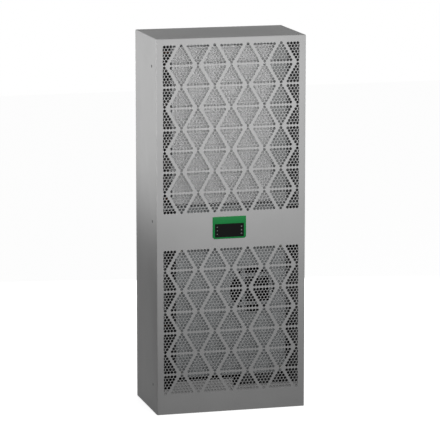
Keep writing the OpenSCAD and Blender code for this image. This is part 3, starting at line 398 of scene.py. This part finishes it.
def smooth(piece, degrees=35):
    """Smooth faces, kept sharp where they meet at more than that angle."""
    for face in piece.data.polygons:
        face.use_smooth = True
    piece.data.set_sharp_from_angle(angle=math.radians(degrees))


def fin(depth, height):
    """One rippled fin, standing along z, its front edge at y = 0."""
    bm = bmesh.new()
    shares = [i / FIN_FACETS for i in range(FIN_FACETS + 1)]
    line = [(FIN_WAVE * math.sin(share * FIN_RIPPLES * math.tau), share * depth) for share in shares]
    outline = [(x - FIN_SHEET / 2, y) for x, y in line]
    outline += [(x + FIN_SHEET / 2, y) for x, y in reversed(line)]
    low = [bm.verts.new((x, y, 0)) for x, y in outline]
    top = [bm.verts.new((x, y, height)) for x, y in outline]
    for i, spot in enumerate(low):
        j = (i + 1) % len(low)
        bm.faces.new((spot, low[j], top[j], top[i]))
    for i in range(FIN_FACETS):
        j = len(low) - 1 - i
        bm.faces.new((low[i], low[j], low[j - 1], low[i + 1]))
        bm.faces.new((top[i], top[i + 1], top[j - 1], top[j]))
    bmesh.ops.recalc_face_normals(bm, faces=bm.faces)
    return one_mesh("fin", bm)


def tube(radius, length, sides):
    """A plain tube end to end along x, closed at both ends."""
    bm = bmesh.new()
    turn = Matrix.Translation((length / 2, 0, 0)) @ Matrix.Rotation(math.radians(90), 4, "Y")
    bmesh.ops.create_cone(
        bm, cap_ends=True, segments=sides, radius1=radius, radius2=radius, depth=length, matrix=turn
    )
    return one_mesh("tube", bm)


copies = copies_tree()
fin_metal = fin_stock("aluminium_fin_stock", "#E0E0E0", "#D6D6D7")


def coil(name, node):
    """Fins and tubes in the space of a coil's CAD node. The fins' collars wrap the tubes in their metal."""
    low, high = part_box(node)
    first, last = low.x + TUBE_END, high.x - TUBE_END
    gaps = round((last - first) / FIN_STEP)
    fins = grown(
        name,
        fin(high.y - low.y, high.z - low.z),
        copies,
        {
            "Material": fin_metal,
            "Count": gaps + 1,
            "Step": ((last - first) / gaps, 0, 0),
            "Rows": 1,
            "Start": (first, low.y, low.z),
        },
    )
    middle = (low.y + high.y) / 2
    tubes = grown(
        name + "_tubes",
        tube(TUBE_R, high.x - low.x, TUBE_SIDES),
        copies,
        {
            "Material": fin_metal,
            "Count": round((high.z - low.z) / TUBE_STEP),
            "Step": (0, 0, TUBE_STEP),
            "Rows": TUBE_ROWS,
            "Row step": (0, TUBE_ROW_STEP, 0),
            "Start": (low.x, middle - TUBE_ROW_STEP / 2, low.z + TUBE_STEP / 2),
        },
    )
    smooth(tubes)
    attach(fins, "housing")
    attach(tubes, "housing")
    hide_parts(node)


coil("condenser_fins", "condenser_coil")
coil("evaporator_fins", "evaporator_coil")
dress(zinc_sheet, "condenser_end_plates", "evaporator_end_plates")
# The bends are drawn near black, far darker than the copper pipes
dress(enamel("near_black_bends", "#2A2522", "#352E2A"), "condenser_bends", "evaporator_bends")

# Fans
# Two radial fans with external-rotor motors on galvanised brackets, one of them behind a guard of bars.
# Ring and impeller are black glass-filled nylon, their black partly painted shade for the dark fan mouth.
# The rotor is lacquered and the stator bare die-cast metal.


def cast_metal(name, colour, shade):
    """Bare aluminium, die-cast or drawn and then blasted: grey, dull, with a fine grain."""
    made, tree, shader, place = finish(name, roughness=0.55, metallic=0.8)
    # The blasting's grain is some 0.2 mm: it is drawn at 0.8 mm so that it shows
    grain = put(tree, "ShaderNodeTexNoise", {"Vector": place, "Scale": 1 / (0.8 * MM), "Detail": 3.0})
    mixed = put(
        tree, "ShaderNodeMix", {"Factor": grain, "A": paint(colour), "B": paint(shade)}, data_type="RGBA"
    )
    bump = put(tree, "ShaderNodeBump", {"Height": grain, "Strength": 0.4, "Distance": 0.1 * MM})
    feed(shader, {"Base Color": mixed.outputs["Result"], "Normal": bump})
    return made


# The glass fibres leave the black nylon dull
# Part of the rings' and impellers' black is painted shade, so that the fan's mouth reads dark
dress(
    moulded("black_nylon_and_painted_shade", "#0E0F10", "#16171A", roughness=0.65, spark=0.7, specular=0.15),
    "condenser_inlet_ring",
    "evaporator_inlet_ring",
    "condenser_impeller",
    "evaporator_impeller",
)
dress(
    enamel("rotor_lacquer", "#121314", "#18191B", roughness=0.5, specular=0.15),
    "condenser_rotor",
    "evaporator_rotor",
)
dress(cast_metal("die_cast_aluminium", "#8E9092", "#77797B"), "condenser_stator", "evaporator_stator")
dress(zinc_sheet, "condenser_motor_bracket", "evaporator_motor_bracket", "condenser_fan_guard")

# Drip tray
# Condensate from the evaporator drips into a vacuum-formed tray and leaves by a rubber hose, pushed over
# the tray's spout at its top and over the stub of the moulded drain fitting in the floor.
dress(moulded("vacuum_formed_tray", "#8D9194", "#85898C", roughness=0.4), "drip_tray")
dress(black_rubber, "drain_hose")
dress(black_plastic, "drain_spout")

# Electrics
# A folded galvanised box with a lid holds the contactor and the run capacitor in its drawn can. The
# supply comes in at a block of plug-in terminals, behind a cut-out in the back wall.
dress(zinc_sheet, "electric_box", "electric_box_lid")
dress(black_plastic, "contactor")
dress(cast_metal("drawn_can_aluminium", "#D2D3D4", "#C2C3C4"), "run_capacitor")
dress(moulded("terminal_polyamide", "#5E7058", "#566850", roughness=0.5), "terminal_block")

# Front cover
# One sheet of 1.5 mm steel, punched with triangles of round holes, folded back at the sides and the
# top with welded and ground corners, and powder coated. It slides over the chassis from the front.
COVER_SHEET = 1.5 * MM
COVER_BEND = 3.0 * MM
BEND_STEPS = 5
HOLE_ROWS = 7
HOLE_SIDES = 12
HOLE_R = 4 * MM
HOLE_PITCH = 8.8 * MM
ROW_HEIGHT = 7.5 * MM
# The pitch towards the apex, in pitches of the widest row
APEX_SPREAD = 1.1
# Height of the hole at the apex above the middle of its band
APEX_HOLE = 23.1 * MM
TRIANGLE_PERIOD = 90 * MM
BAND_HEIGHT = 56 * MM
TRIANGLES_ACROSS = 9
FIELD_WIDTH = 369 * MM
# A hole that reaches less far than this into a field is left out
HOLE_SPARE = 1 * MM
UPPER_TOP = 985 * MM
UPPER_BANDS = 8
LOWER_TOP = 443.9 * MM
LOWER_BANDS = 7
# How far the display's bezel laps over the edge of its cut-out
BEZEL_LAP = 2 * MM
SCREW_HOLE_R = 4.3 * MM
SCREW_HOLE_SIDES = 24
SCREW_Y = -73 * MM
SCREW_HEIGHTS = (73 * MM, 513 * MM, 924 * MM)
# Corners of the sheet's parts that are nearer than this become one
WELD_REACH = 0.005 * MM


def numbered(tree, across):
    """The column and the row of each point, counted along rows of so many."""
    number = put(tree, "GeometryNodeInputIndex")
    column = put(tree, "ShaderNodeMath", {0: number, 1: across}, operation="MODULO")
    quotient = put(tree, "ShaderNodeMath", {0: number, 1: across}, operation="DIVIDE")
    return column, put(tree, "ShaderNodeMath", {0: quotient}, operation="FLOOR")


def field_tree():
    """One field of the perforation, filled band by band and stood upright."""
    tree, given = new_tree(
        "perforated_field",
        {
            "Rows": "Int",
            "First hole": "Vector",
            "Hole step": "Vector",
            "Apex spread": "Float",
            "Hole radius": "Float",
            "Hole sides": "Int",
            "Across": "Int",
            "Bands": "Int",
            "First triangle": "Vector",
            "Triangle step": "Vector",
            "Outermost hole": "Float",
            "Low corner": "Vector",
            "High corner": "Vector",
            "Top": "Float",
            "Band height": "Float",
            "Sheet width": "Float",
            "Front": "Float",
        },
    )

    # A triangle of points, apex up: each row is moved back by half a step, the short ones wider spaced
    column, row = numbered(tree, given["Rows"])
    square = put(tree, "ShaderNodeMath", {0: given["Rows"], 1: given["Rows"]}, operation="MULTIPLY")
    last_row = put(tree, "ShaderNodeMath", {0: given["Rows"], 1: 1.0}, operation="SUBTRACT")
    spread = put(
        tree,
        "ShaderNodeMapRange",
        {"Value": row, "From Max": last_row, "To Min": given["Apex spread"], "To Max": 1.0},
    )
    offset = put(tree, "ShaderNodeMath", {0: row, 1: -0.5, 2: column}, operation="MULTIPLY_ADD")
    sideways = put(tree, "ShaderNodeMath", {0: offset, 1: spread}, operation="MULTIPLY")
    cell = put(tree, "ShaderNodeCombineXYZ", {"X": sideways, "Y": row})
    place = put(
        tree,
        "ShaderNodeVectorMath",
        {0: cell, 1: given["Hole step"], 2: given["First hole"]},
        operation="MULTIPLY_ADD",
    )
    points = put(tree, "GeometryNodePoints", {"Count": square, "Position": place})
    beyond = put(tree, "ShaderNodeMath", {0: column, 1: row}, operation="GREATER_THAN")
    triangle = put(tree, "GeometryNodeDeleteGeometry", {"Geometry": points, "Selection": beyond})

    # Triangles on a grid, the first and every second one turned over
    column, band = numbered(tree, given["Across"])
    many = put(tree, "ShaderNodeMath", {0: given["Across"], 1: given["Bands"]}, operation="MULTIPLY")
    cell = put(tree, "ShaderNodeCombineXYZ", {"X": column, "Y": band})
    place = put(
        tree,
        "ShaderNodeVectorMath",
        {0: cell, 1: given["Triangle step"], 2: given["First triangle"]},
        operation="MULTIPLY_ADD",
    )
    grid = put(tree, "GeometryNodePoints", {"Count": many, "Position": place})
    both = put(tree, "ShaderNodeMath", {0: column, 1: band}, operation="ADD")
    odd = put(tree, "ShaderNodeMath", {0: both, 1: 2.0}, operation="MODULO")
    half_turn = put(tree, "ShaderNodeMath", {0: odd, 1: -math.pi, 2: math.pi}, operation="MULTIPLY_ADD")
    turn = put(tree, "ShaderNodeCombineXYZ", {"Z": half_turn})
    triangles = put(
        tree, "GeometryNodeInstanceOnPoints", {"Points": grid, "Instance": triangle, "Rotation": turn}
    )
    centres = put(tree, "GeometryNodeRealizeInstances", {"Geometry": triangles})
    here = put(tree, "GeometryNodeInputPosition")
    spot = put(tree, "ShaderNodeSeparateXYZ", {"Vector": here})
    distance = put(tree, "ShaderNodeMath", {0: spot.outputs["X"]}, operation="ABSOLUTE")
    off = put(tree, "ShaderNodeMath", {0: distance, 1: given["Outermost hole"]}, operation="GREATER_THAN")
    kept = put(tree, "GeometryNodeDeleteGeometry", {"Geometry": centres, "Selection": off})

    # A circle on every point, cut off straight at the field's sides
    circle = put(
        tree,
        "GeometryNodeCurvePrimitiveCircle",
        {"Resolution": given["Hole sides"], "Radius": given["Hole radius"]},
    )
    circles = put(tree, "GeometryNodeInstanceOnPoints", {"Points": kept, "Instance": circle})
    holes = put(tree, "GeometryNodeRealizeInstances", {"Geometry": circles})
    above = put(tree, "ShaderNodeVectorMath", {0: here, 1: given["Low corner"]}, operation="MAXIMUM")
    within = put(tree, "ShaderNodeVectorMath", {0: above, 1: given["High corner"]}, operation="MINIMUM")
    cut_holes = put(tree, "GeometryNodeSetPosition", {"Geometry": holes, "Position": within})

    # One strip of sheet for each band, filled round its own holes
    half_band = put(
        tree, "ShaderNodeMath", {0: given["Band height"], 1: -0.5, 2: given["Top"]}, operation="MULTIPLY_ADD"
    )
    fall = put(tree, "ShaderNodeMath", {0: given["Band height"], 1: -1.0}, operation="MULTIPLY")
    first_strip = put(tree, "ShaderNodeCombineXYZ", {"Y": half_band})
    strip_step = put(tree, "ShaderNodeCombineXYZ", {"Y": fall})
    strips = put(
        tree,
        "GeometryNodeMeshLine",
        {"Count": given["Bands"], "Start Location": first_strip, "Offset": strip_step},
    )
    strip = put(
        tree,
        "GeometryNodeCurvePrimitiveQuadrilateral",
        {"Width": given["Sheet width"], "Height": given["Band height"]},
    )
    laid = put(tree, "GeometryNodeInstanceOnPoints", {"Points": strips, "Instance": strip})
    outlines = put(tree, "GeometryNodeRealizeInstances", {"Geometry": laid})
    lines = put(tree, "GeometryNodeJoinGeometry", {"Geometry": cut_holes})
    feed(lines, {"Geometry": outlines})
    depth = put(tree, "ShaderNodeMath", {0: given["Top"], 1: spot.outputs["Y"]}, operation="SUBTRACT")
    bands_down = put(tree, "ShaderNodeMath", {0: depth, 1: given["Band height"]}, operation="DIVIDE")
    own_band = put(tree, "FunctionNodeFloatToInt", {"Float": bands_down}, rounding_mode="FLOOR")
    sheet = put(tree, "GeometryNodeFillCurve", {"Curve": lines, "Group ID": own_band})

    # Stood upright on the front plane, and joined to the incoming sheet
    forward = put(tree, "ShaderNodeCombineXYZ", {"Y": given["Front"]})
    upright = put(
        tree,
        "GeometryNodeTransform",
        {"Geometry": sheet, "Rotation": (math.radians(90), 0, 0), "Translation": forward},
    )
    joined = put(tree, "GeometryNodeJoinGeometry", {"Geometry": upright})
    feed(joined, {"Geometry": given["Geometry"]})
    end_tree(tree, joined, given["Material"])
    return tree


def skin(bm, lower, upper):
    """Faces between two rows of corners, the lower one first."""
    for i in range(len(lower) - 1):
        bm.faces.new((lower[i], lower[i + 1], upper[i + 1], upper[i]))


def ring(bm, corners):
    """A closed loop of edges."""
    spots = [bm.verts.new(corner) for corner in corners]
    return [bm.edges.new((spots[i], spots[(i + 1) % len(spots)])) for i in range(len(spots))]


def plate_with_holes(bm, outline, holes, normal):
    """A flat plate filled between an outline and its holes."""
    edges = ring(bm, outline)
    for hole in holes:
        edges += ring(bm, hole)
    bmesh.ops.triangle_fill(bm, edges=edges, use_beauty=False, use_dissolve=False, normal=normal)


def facing(y, x0, x1, z0, z1):
    """Corners of an upright rectangle that faces the front."""
    return [(x0, y, z0), (x1, y, z0), (x1, y, z1), (x0, y, z1)]


def cover_shell(low, high):
    """The outer face of the folded sheet, without its two perforated fields."""
    bm = bmesh.new()
    side = high.x - COVER_BEND
    front = low.y + COVER_BEND
    roof = high.z - COVER_BEND
    upper_ends = [UPPER_TOP - i * BAND_HEIGHT for i in range(UPPER_BANDS + 1)]
    lower_ends = [LOWER_TOP - i * BAND_HEIGHT for i in range(LOWER_BANDS + 1)]
    levels = sorted([low.z, roof, *upper_ends, *lower_ends])
    turns = [math.radians(90 * i / BEND_STEPS) for i in range(BEND_STEPS + 1)]
    path = [((-side, front), (-math.cos(t), -math.sin(t))) for t in turns]
    path += [((side, front), (math.sin(t), -math.cos(t))) for t in turns]

    # The two upright bends
    rows = []
    for z in levels:
        rows.append([bm.verts.new((x + COVER_BEND * a, y + COVER_BEND * b, z)) for (x, y), (a, b) in path])
    half = BEND_STEPS + 1
    for below, above in zip(rows, rows[1:]):
        skin(bm, below[:half], above[:half])
        skin(bm, below[half:], above[half:])

    # The top with its bends and its two round corners
    path = [((-side, high.y), (-1, 0))] + path + [((side, high.y), (1, 0))]
    last = None
    for t in turns:
        out, up = COVER_BEND * math.cos(t), COVER_BEND * math.sin(t)
        row = [bm.verts.new((x + out * a, y + out * b, roof + up)) for (x, y), (a, b) in path]
        if last:
            skin(bm, last, row)
        last = row
    lid = ((-side, front), (side, front), (side, high.y), (-side, high.y))
    bm.faces.new([bm.verts.new((x, y, high.z)) for x, y in lid])

    # Plain strips of the front, the middle one cut out for the display
    bezel_low, bezel_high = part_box("display_bezel")
    cutout = facing(
        low.y,
        bezel_low.x + BEZEL_LAP,
        bezel_high.x - BEZEL_LAP,
        bezel_low.z + BEZEL_LAP,
        bezel_high.z - BEZEL_LAP,
    )
    plain = ((low.z, lower_ends[-1], []), (LOWER_TOP, upper_ends[-1], [cutout]), (UPPER_TOP, roof, []))
    for z0, z1, holes in plain:
        plate_with_holes(bm, facing(low.y, -side, side, z0, z1), holes, (0, -1, 0))

    # Both sides, with their screw holes
    angles = [math.tau * i / SCREW_HOLE_SIDES for i in range(SCREW_HOLE_SIDES)]
    for x in (low.x, high.x):
        outline = [(x, front, z) for z in levels] + [(x, high.y, roof), (x, high.y, low.z)]
        holes = [
            [(x, SCREW_Y + SCREW_HOLE_R * math.cos(a), z + SCREW_HOLE_R * math.sin(a)) for a in angles]
            for z in SCREW_HEIGHTS
        ]
        plate_with_holes(bm, outline, holes, (math.copysign(1, x), 0, 0))
    return one_mesh("cover_shell", bm)


field = field_tree()
cover_coat = powder_coat("cover_powder_coat", "#B5B5B5", "#B1B1B1")
cover_low, cover_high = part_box("front_cover")


def perforated(name, sheet, top, bands):
    """The sheet with one more field of holes."""
    outermost_triangle = (TRIANGLES_ACROSS - 1) / 2 * TRIANGLE_PERIOD / 2
    return grown(
        name,
        sheet,
        field,
        {
            "Material": cover_coat,
            "Rows": HOLE_ROWS,
            "First hole": (0, APEX_HOLE, 0),
            "Hole step": (HOLE_PITCH, -ROW_HEIGHT, 0),
            "Apex spread": APEX_SPREAD,
            "Hole radius": HOLE_R,
            "Hole sides": HOLE_SIDES,
            "Across": TRIANGLES_ACROSS,
            "Bands": bands,
            "First triangle": (-outermost_triangle, top - BAND_HEIGHT / 2, 0),
            "Triangle step": (TRIANGLE_PERIOD / 2, -BAND_HEIGHT, 0),
            "Outermost hole": FIELD_WIDTH / 2 + HOLE_R - HOLE_SPARE,
            "Low corner": (-FIELD_WIDTH / 2, top - bands * BAND_HEIGHT, 0),
            "High corner": (FIELD_WIDTH / 2, top, 0),
            "Top": top,
            "Band height": BAND_HEIGHT,
            "Sheet width": cover_high.x - cover_low.x - 2 * COVER_BEND,
            "Front": cover_low.y,
        },
    )


upper = perforated("upper_sheet", cover_shell(cover_low, cover_high), UPPER_TOP, UPPER_BANDS)
cover = perforated("front_cover_sheet", upper.data, LOWER_TOP, LOWER_BANDS)
bpy.data.objects.remove(upper)
welded = bmesh.new()
welded.from_mesh(cover.data)
bmesh.ops.remove_doubles(welded, verts=welded.verts, dist=WELD_REACH)
welded.to_mesh(cover.data)
welded.free()
gauge = cover.modifiers.new("sheet_gauge", "SOLIDIFY")
gauge.thickness = COVER_SHEET
gauge.offset = -1
gauge.use_even_offset = True
settle(cover)
smooth(cover)
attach(cover, "housing")
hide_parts("front_cover")

# Cover screws
# Six countersunk screws with a hexagon socket hold the cover to the chassis through its sides. They
# are cold-headed steel, blackened in a hot salt bath and oiled.
dress(
    enamel("blackened_screw_steel", "#0E0F10", "#151617", roughness=0.5, specular=0.15), "cover_screws"
)

# Display
# A green moulded bezel sits in the cut-out with a smoked window, three status lamps and three keys, each
# key with a pale printed mark. The header above the window is bare here. The board is behind, in a case.
BEZEL_ROUND = 0.7 * MM
BEZEL_STEPS = 3
# The bezel's edges round the window, up to this far from it, stay sharp
WINDOW_EDGE = 1 * MM
# Corners of the CAD mesh nearer than this are one, and faces that turn by less than this are one
CORNER_REACH = 0.001 * MM
FLAT_TURN = math.radians(1)
# An edge of the front lies this close to its plane and turns by more than this
FRONT_REACH = 0.01 * MM
EDGE_TURN = math.radians(30)
# The marks' outlines are in shares of their half width
MARK_HALF = 1.15 * MM
MARK_PROUD = 0.05 * MM
MARK_FACETS = 8
UP_SHARES = ((-1, -0.7), (1, -0.7), (0, 0.8))
DOWN_SHARES = ((0, -0.8), (1, 0.7), (-1, 0.7))


def rounded_front(node, clear_low, clear_high):
    """A merged copy of a CAD node, its front edges rounded except those between the two clear corners."""
    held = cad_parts[node]
    bm = bmesh.new()
    bm.from_mesh(held.data)
    bm.transform(held.matrix_world)
    bmesh.ops.remove_doubles(bm, verts=bm.verts, dist=CORNER_REACH)
    bmesh.ops.dissolve_limit(bm, angle_limit=FLAT_TURN, verts=bm.verts, edges=bm.edges)
    front = min(spot.co.y for spot in bm.verts)
    rim = []
    for edge in bm.edges:
        middle = (edge.verts[0].co + edge.verts[1].co) / 2
        level = all(spot.co.y < front + FRONT_REACH for spot in edge.verts)
        clear = clear_low.x < middle.x < clear_high.x and clear_low.z < middle.z < clear_high.z
        if level and not clear and edge.calc_face_angle(0) > EDGE_TURN:
            rim.append(edge)
    bmesh.ops.bevel(
        bm,
        geom=rim,
        offset=BEZEL_ROUND,
        segments=BEZEL_STEPS,
        profile=0.5,
        affect="EDGES",
        clamp_overlap=True,
    )
    bmesh.ops.recalc_face_normals(bm, faces=bm.faces)
    return one_mesh(node + "_rounded", bm)


window_low, window_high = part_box("display_window")
spare = Vector((WINDOW_EDGE, WINDOW_EDGE, WINDOW_EDGE))
bezel = added("rounded_bezel", rounded_front("display_bezel", window_low - spare, window_high + spare))
cover_in(bezel, moulded("green_bezel_plastic", "#087B3A", "#077536", roughness=0.4, spark=1.0, specular=0.2))
smooth(bezel)
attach(bezel, "housing")
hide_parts("display_bezel")
# Smoked acrylic is nearly black, unlit lenses are a greyish green, and silicone caps are dark and matt
dress(
    moulded("smoked_window_acrylic", "#0D0E0E", "#0B0C0C", roughness=0.3, spark=3.0, specular=0.08),
    "display_window",
)
dress(moulded("lamp_lens", "#7F857E", "#747A73", roughness=0.3, spark=3.0), "status_lamps")
dress(moulded("key_cap_silicone", "#2A2B2C", "#242526", roughness=0.6), "key_up", "key_set", "key_down")
dress(moulded("board_resist", "#1F6B3B", "#195B31", roughness=0.35, spark=2.0), "display_board")
dress(black_plastic, "display_housing")
mark_ink = moulded("printed_mark_ink", "#A9AEA9", "#9FA49F", roughness=0.5, spark=1.0)


def mark(key, body, outline):
    """A flat printed mark on the front of a key. Its outline goes by x and z from the key's middle."""
    low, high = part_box(key)
    middle = (low + high) / 2
    bm = bmesh.new()
    front, back = (
        [bm.verts.new((middle.x + MARK_HALF * x, y, middle.z + MARK_HALF * z)) for x, z in outline]
        for y in (low.y - MARK_PROUD, low.y)
    )
    bm.faces.new(front)
    bm.faces.new(reversed(back))
    skin(bm, back + back[:1], front + front[:1])
    bmesh.ops.recalc_face_normals(bm, faces=bm.faces)
    printed = added(key + "_mark", one_mesh(key + "_mark", bm))
    cover_in(printed, mark_ink)
    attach(printed, body)


end_turns = [math.pi * i / MARK_FACETS - math.pi / 2 for i in range(MARK_FACETS + 1)]
pill_end = [((1 + math.cos(t)) / 2, math.sin(t) / 2) for t in end_turns]
mark("key_up", "up_key", UP_SHARES)
mark("key_set", "set_key", pill_end + [(-x, -z) for x, z in pill_end])
mark("key_down", "down_key", DOWN_SHARES)

# Studio
# A pale sheet under the unit, a soft lamp ahead of it and one behind, a spot from the left that fades
# down the side as in the photograph, and dim daylight from the room.
FLOOR_HALF = 6.0
FLOOR_GLOW = 0.82
FLOOR_GREY = 0.6
ROOM_LIGHT = 0.265
FRONT_LAMP_WIDTH = 0.8
FRONT_LAMP_HEIGHT = 0.4
FRONT_LAMP_PLACE = (0.03, -0.87, 0.90)
FRONT_LAMP_POWER = 5.8
SIDE_LAMP_PLACE = (-1.6, -0.02, 0.97)
SIDE_LAMP_POWER = 57.0
SIDE_LAMP_ANGLE = math.radians(46)
SIDE_LAMP_RADIUS = 0.08
SIDE_LAMP_BLEND = 0.8
BACK_LAMP_SIZE = 0.9
BACK_LAMP_PLACE = (0.3, 1.6, 0.5)
BACK_LAMP_POWER = 15.0
CAMERA_AZIMUTH = 0.261717
CAMERA_HEIGHT = 0.182055
CAMERA_DISTANCE = 7.5257
CAMERA_SIDE = -0.029865
CAMERA_RISE = 0.015579
CAMERA_LENS = 233.95
CAMERA_SENSOR = 36
# The camera and the back lamp are turned towards these: the middle of the front, and of the unit
FRONT_MIDDLE = (0, -0.12, 0.5)
UNIT_MIDDLE = (0, 0, 0.5)


def looked_at(tree):
    """1 for rays that show a thing, straight, reflected or through glass, and 0 for those that light."""
    rays = put(tree, "ShaderNodeLightPath").outputs
    shown = rays["Is Camera Ray"]
    for ray in ("Is Glossy Ray", "Is Transmission Ray"):
        shown = put(tree, "ShaderNodeMath", {0: shown, 1: rays[ray]}, operation="MAXIMUM")
    return shown


floor_mesh = bmesh.new()
bmesh.ops.create_grid(floor_mesh, x_segments=1, y_segments=1, size=FLOOR_HALF)
floor = added("studio_floor", one_mesh("studio_floor", floor_mesh))
paper, tree, shader, _ = finish("studio_paper", roughness=0.9)
feed(shader, {"Base Color": paint("#404040")})
glow = put(tree, "ShaderNodeEmission", {"Color": paint("#FFFFFF"), "Strength": FLOOR_GLOW})
grey = put(tree, "ShaderNodeBsdfDiffuse", {"Color": (FLOOR_GREY, FLOOR_GREY, FLOOR_GREY, 1)})
lit = put(tree, "ShaderNodeAddShader", {0: glow, 1: grey})
seen_floor = put(tree, "ShaderNodeMixShader", {0: looked_at(tree), 1: shader, 2: lit})
feed(tree.nodes["Material Output"], {"Surface": seen_floor})
cover_in(floor, paper)

world = bpy.data.worlds.new("room")
bpy.context.scene.world = world
world.use_nodes = True
tree = world.node_tree
level = put(tree, "ShaderNodeMapRange", {"Value": looked_at(tree), "To Min": ROOM_LIGHT, "To Max": 1.0})
feed(tree.nodes["Background"], {"Color": paint("#FFFFFF"), "Strength": level})


def hang(name, kind, place, aim, **settings):
    """Hangs a lamp at a place, turned to its aim."""
    lamp = bpy.data.lights.new(name, kind)
    for setting, value in settings.items():
        setattr(lamp, setting, value)
    stand = added(name, lamp)
    stand.location = place
    stand.rotation_euler = (Vector(aim) - Vector(place)).to_track_quat("-Z", "Y").to_euler()


hang(
    "front_lamp",
    "AREA",
    FRONT_LAMP_PLACE,
    (FRONT_LAMP_PLACE[0], 0, FRONT_LAMP_PLACE[2]),
    shape="RECTANGLE",
    size=FRONT_LAMP_WIDTH,
    size_y=FRONT_LAMP_HEIGHT,
    energy=FRONT_LAMP_POWER,
)
hang(
    "side_lamp",
    "SPOT",
    SIDE_LAMP_PLACE,
    (0, SIDE_LAMP_PLACE[1], SIDE_LAMP_PLACE[2]),
    energy=SIDE_LAMP_POWER,
    spot_size=SIDE_LAMP_ANGLE,
    spot_blend=SIDE_LAMP_BLEND,
    shadow_soft_size=SIDE_LAMP_RADIUS,
)
hang("back_lamp", "AREA", BACK_LAMP_PLACE, UNIT_MIDDLE, size=BACK_LAMP_SIZE, energy=BACK_LAMP_POWER)

look = Vector(
    (
        math.sin(CAMERA_AZIMUTH) * math.cos(CAMERA_HEIGHT),
        math.cos(CAMERA_AZIMUTH) * math.cos(CAMERA_HEIGHT),
        -math.sin(CAMERA_HEIGHT),
    )
)
right = look.cross(Vector((0, 0, 1))).normalized()
rise = right.cross(look)
camera = bpy.data.cameras.new("photo_camera")
camera.lens = CAMERA_LENS
camera.sensor_width = CAMERA_SENSOR
tripod = added("photo_camera", camera)
target = Vector(FRONT_MIDDLE) + CAMERA_SIDE * right + CAMERA_RISE * rise
tripod.location = target - look * CAMERA_DISTANCE
tripod.rotation_euler = look.to_track_quat("-Z", "Y").to_euler()
bpy.context.scene.camera = tripod
bpy.context.scene.view_settings.view_transform = "Standard"
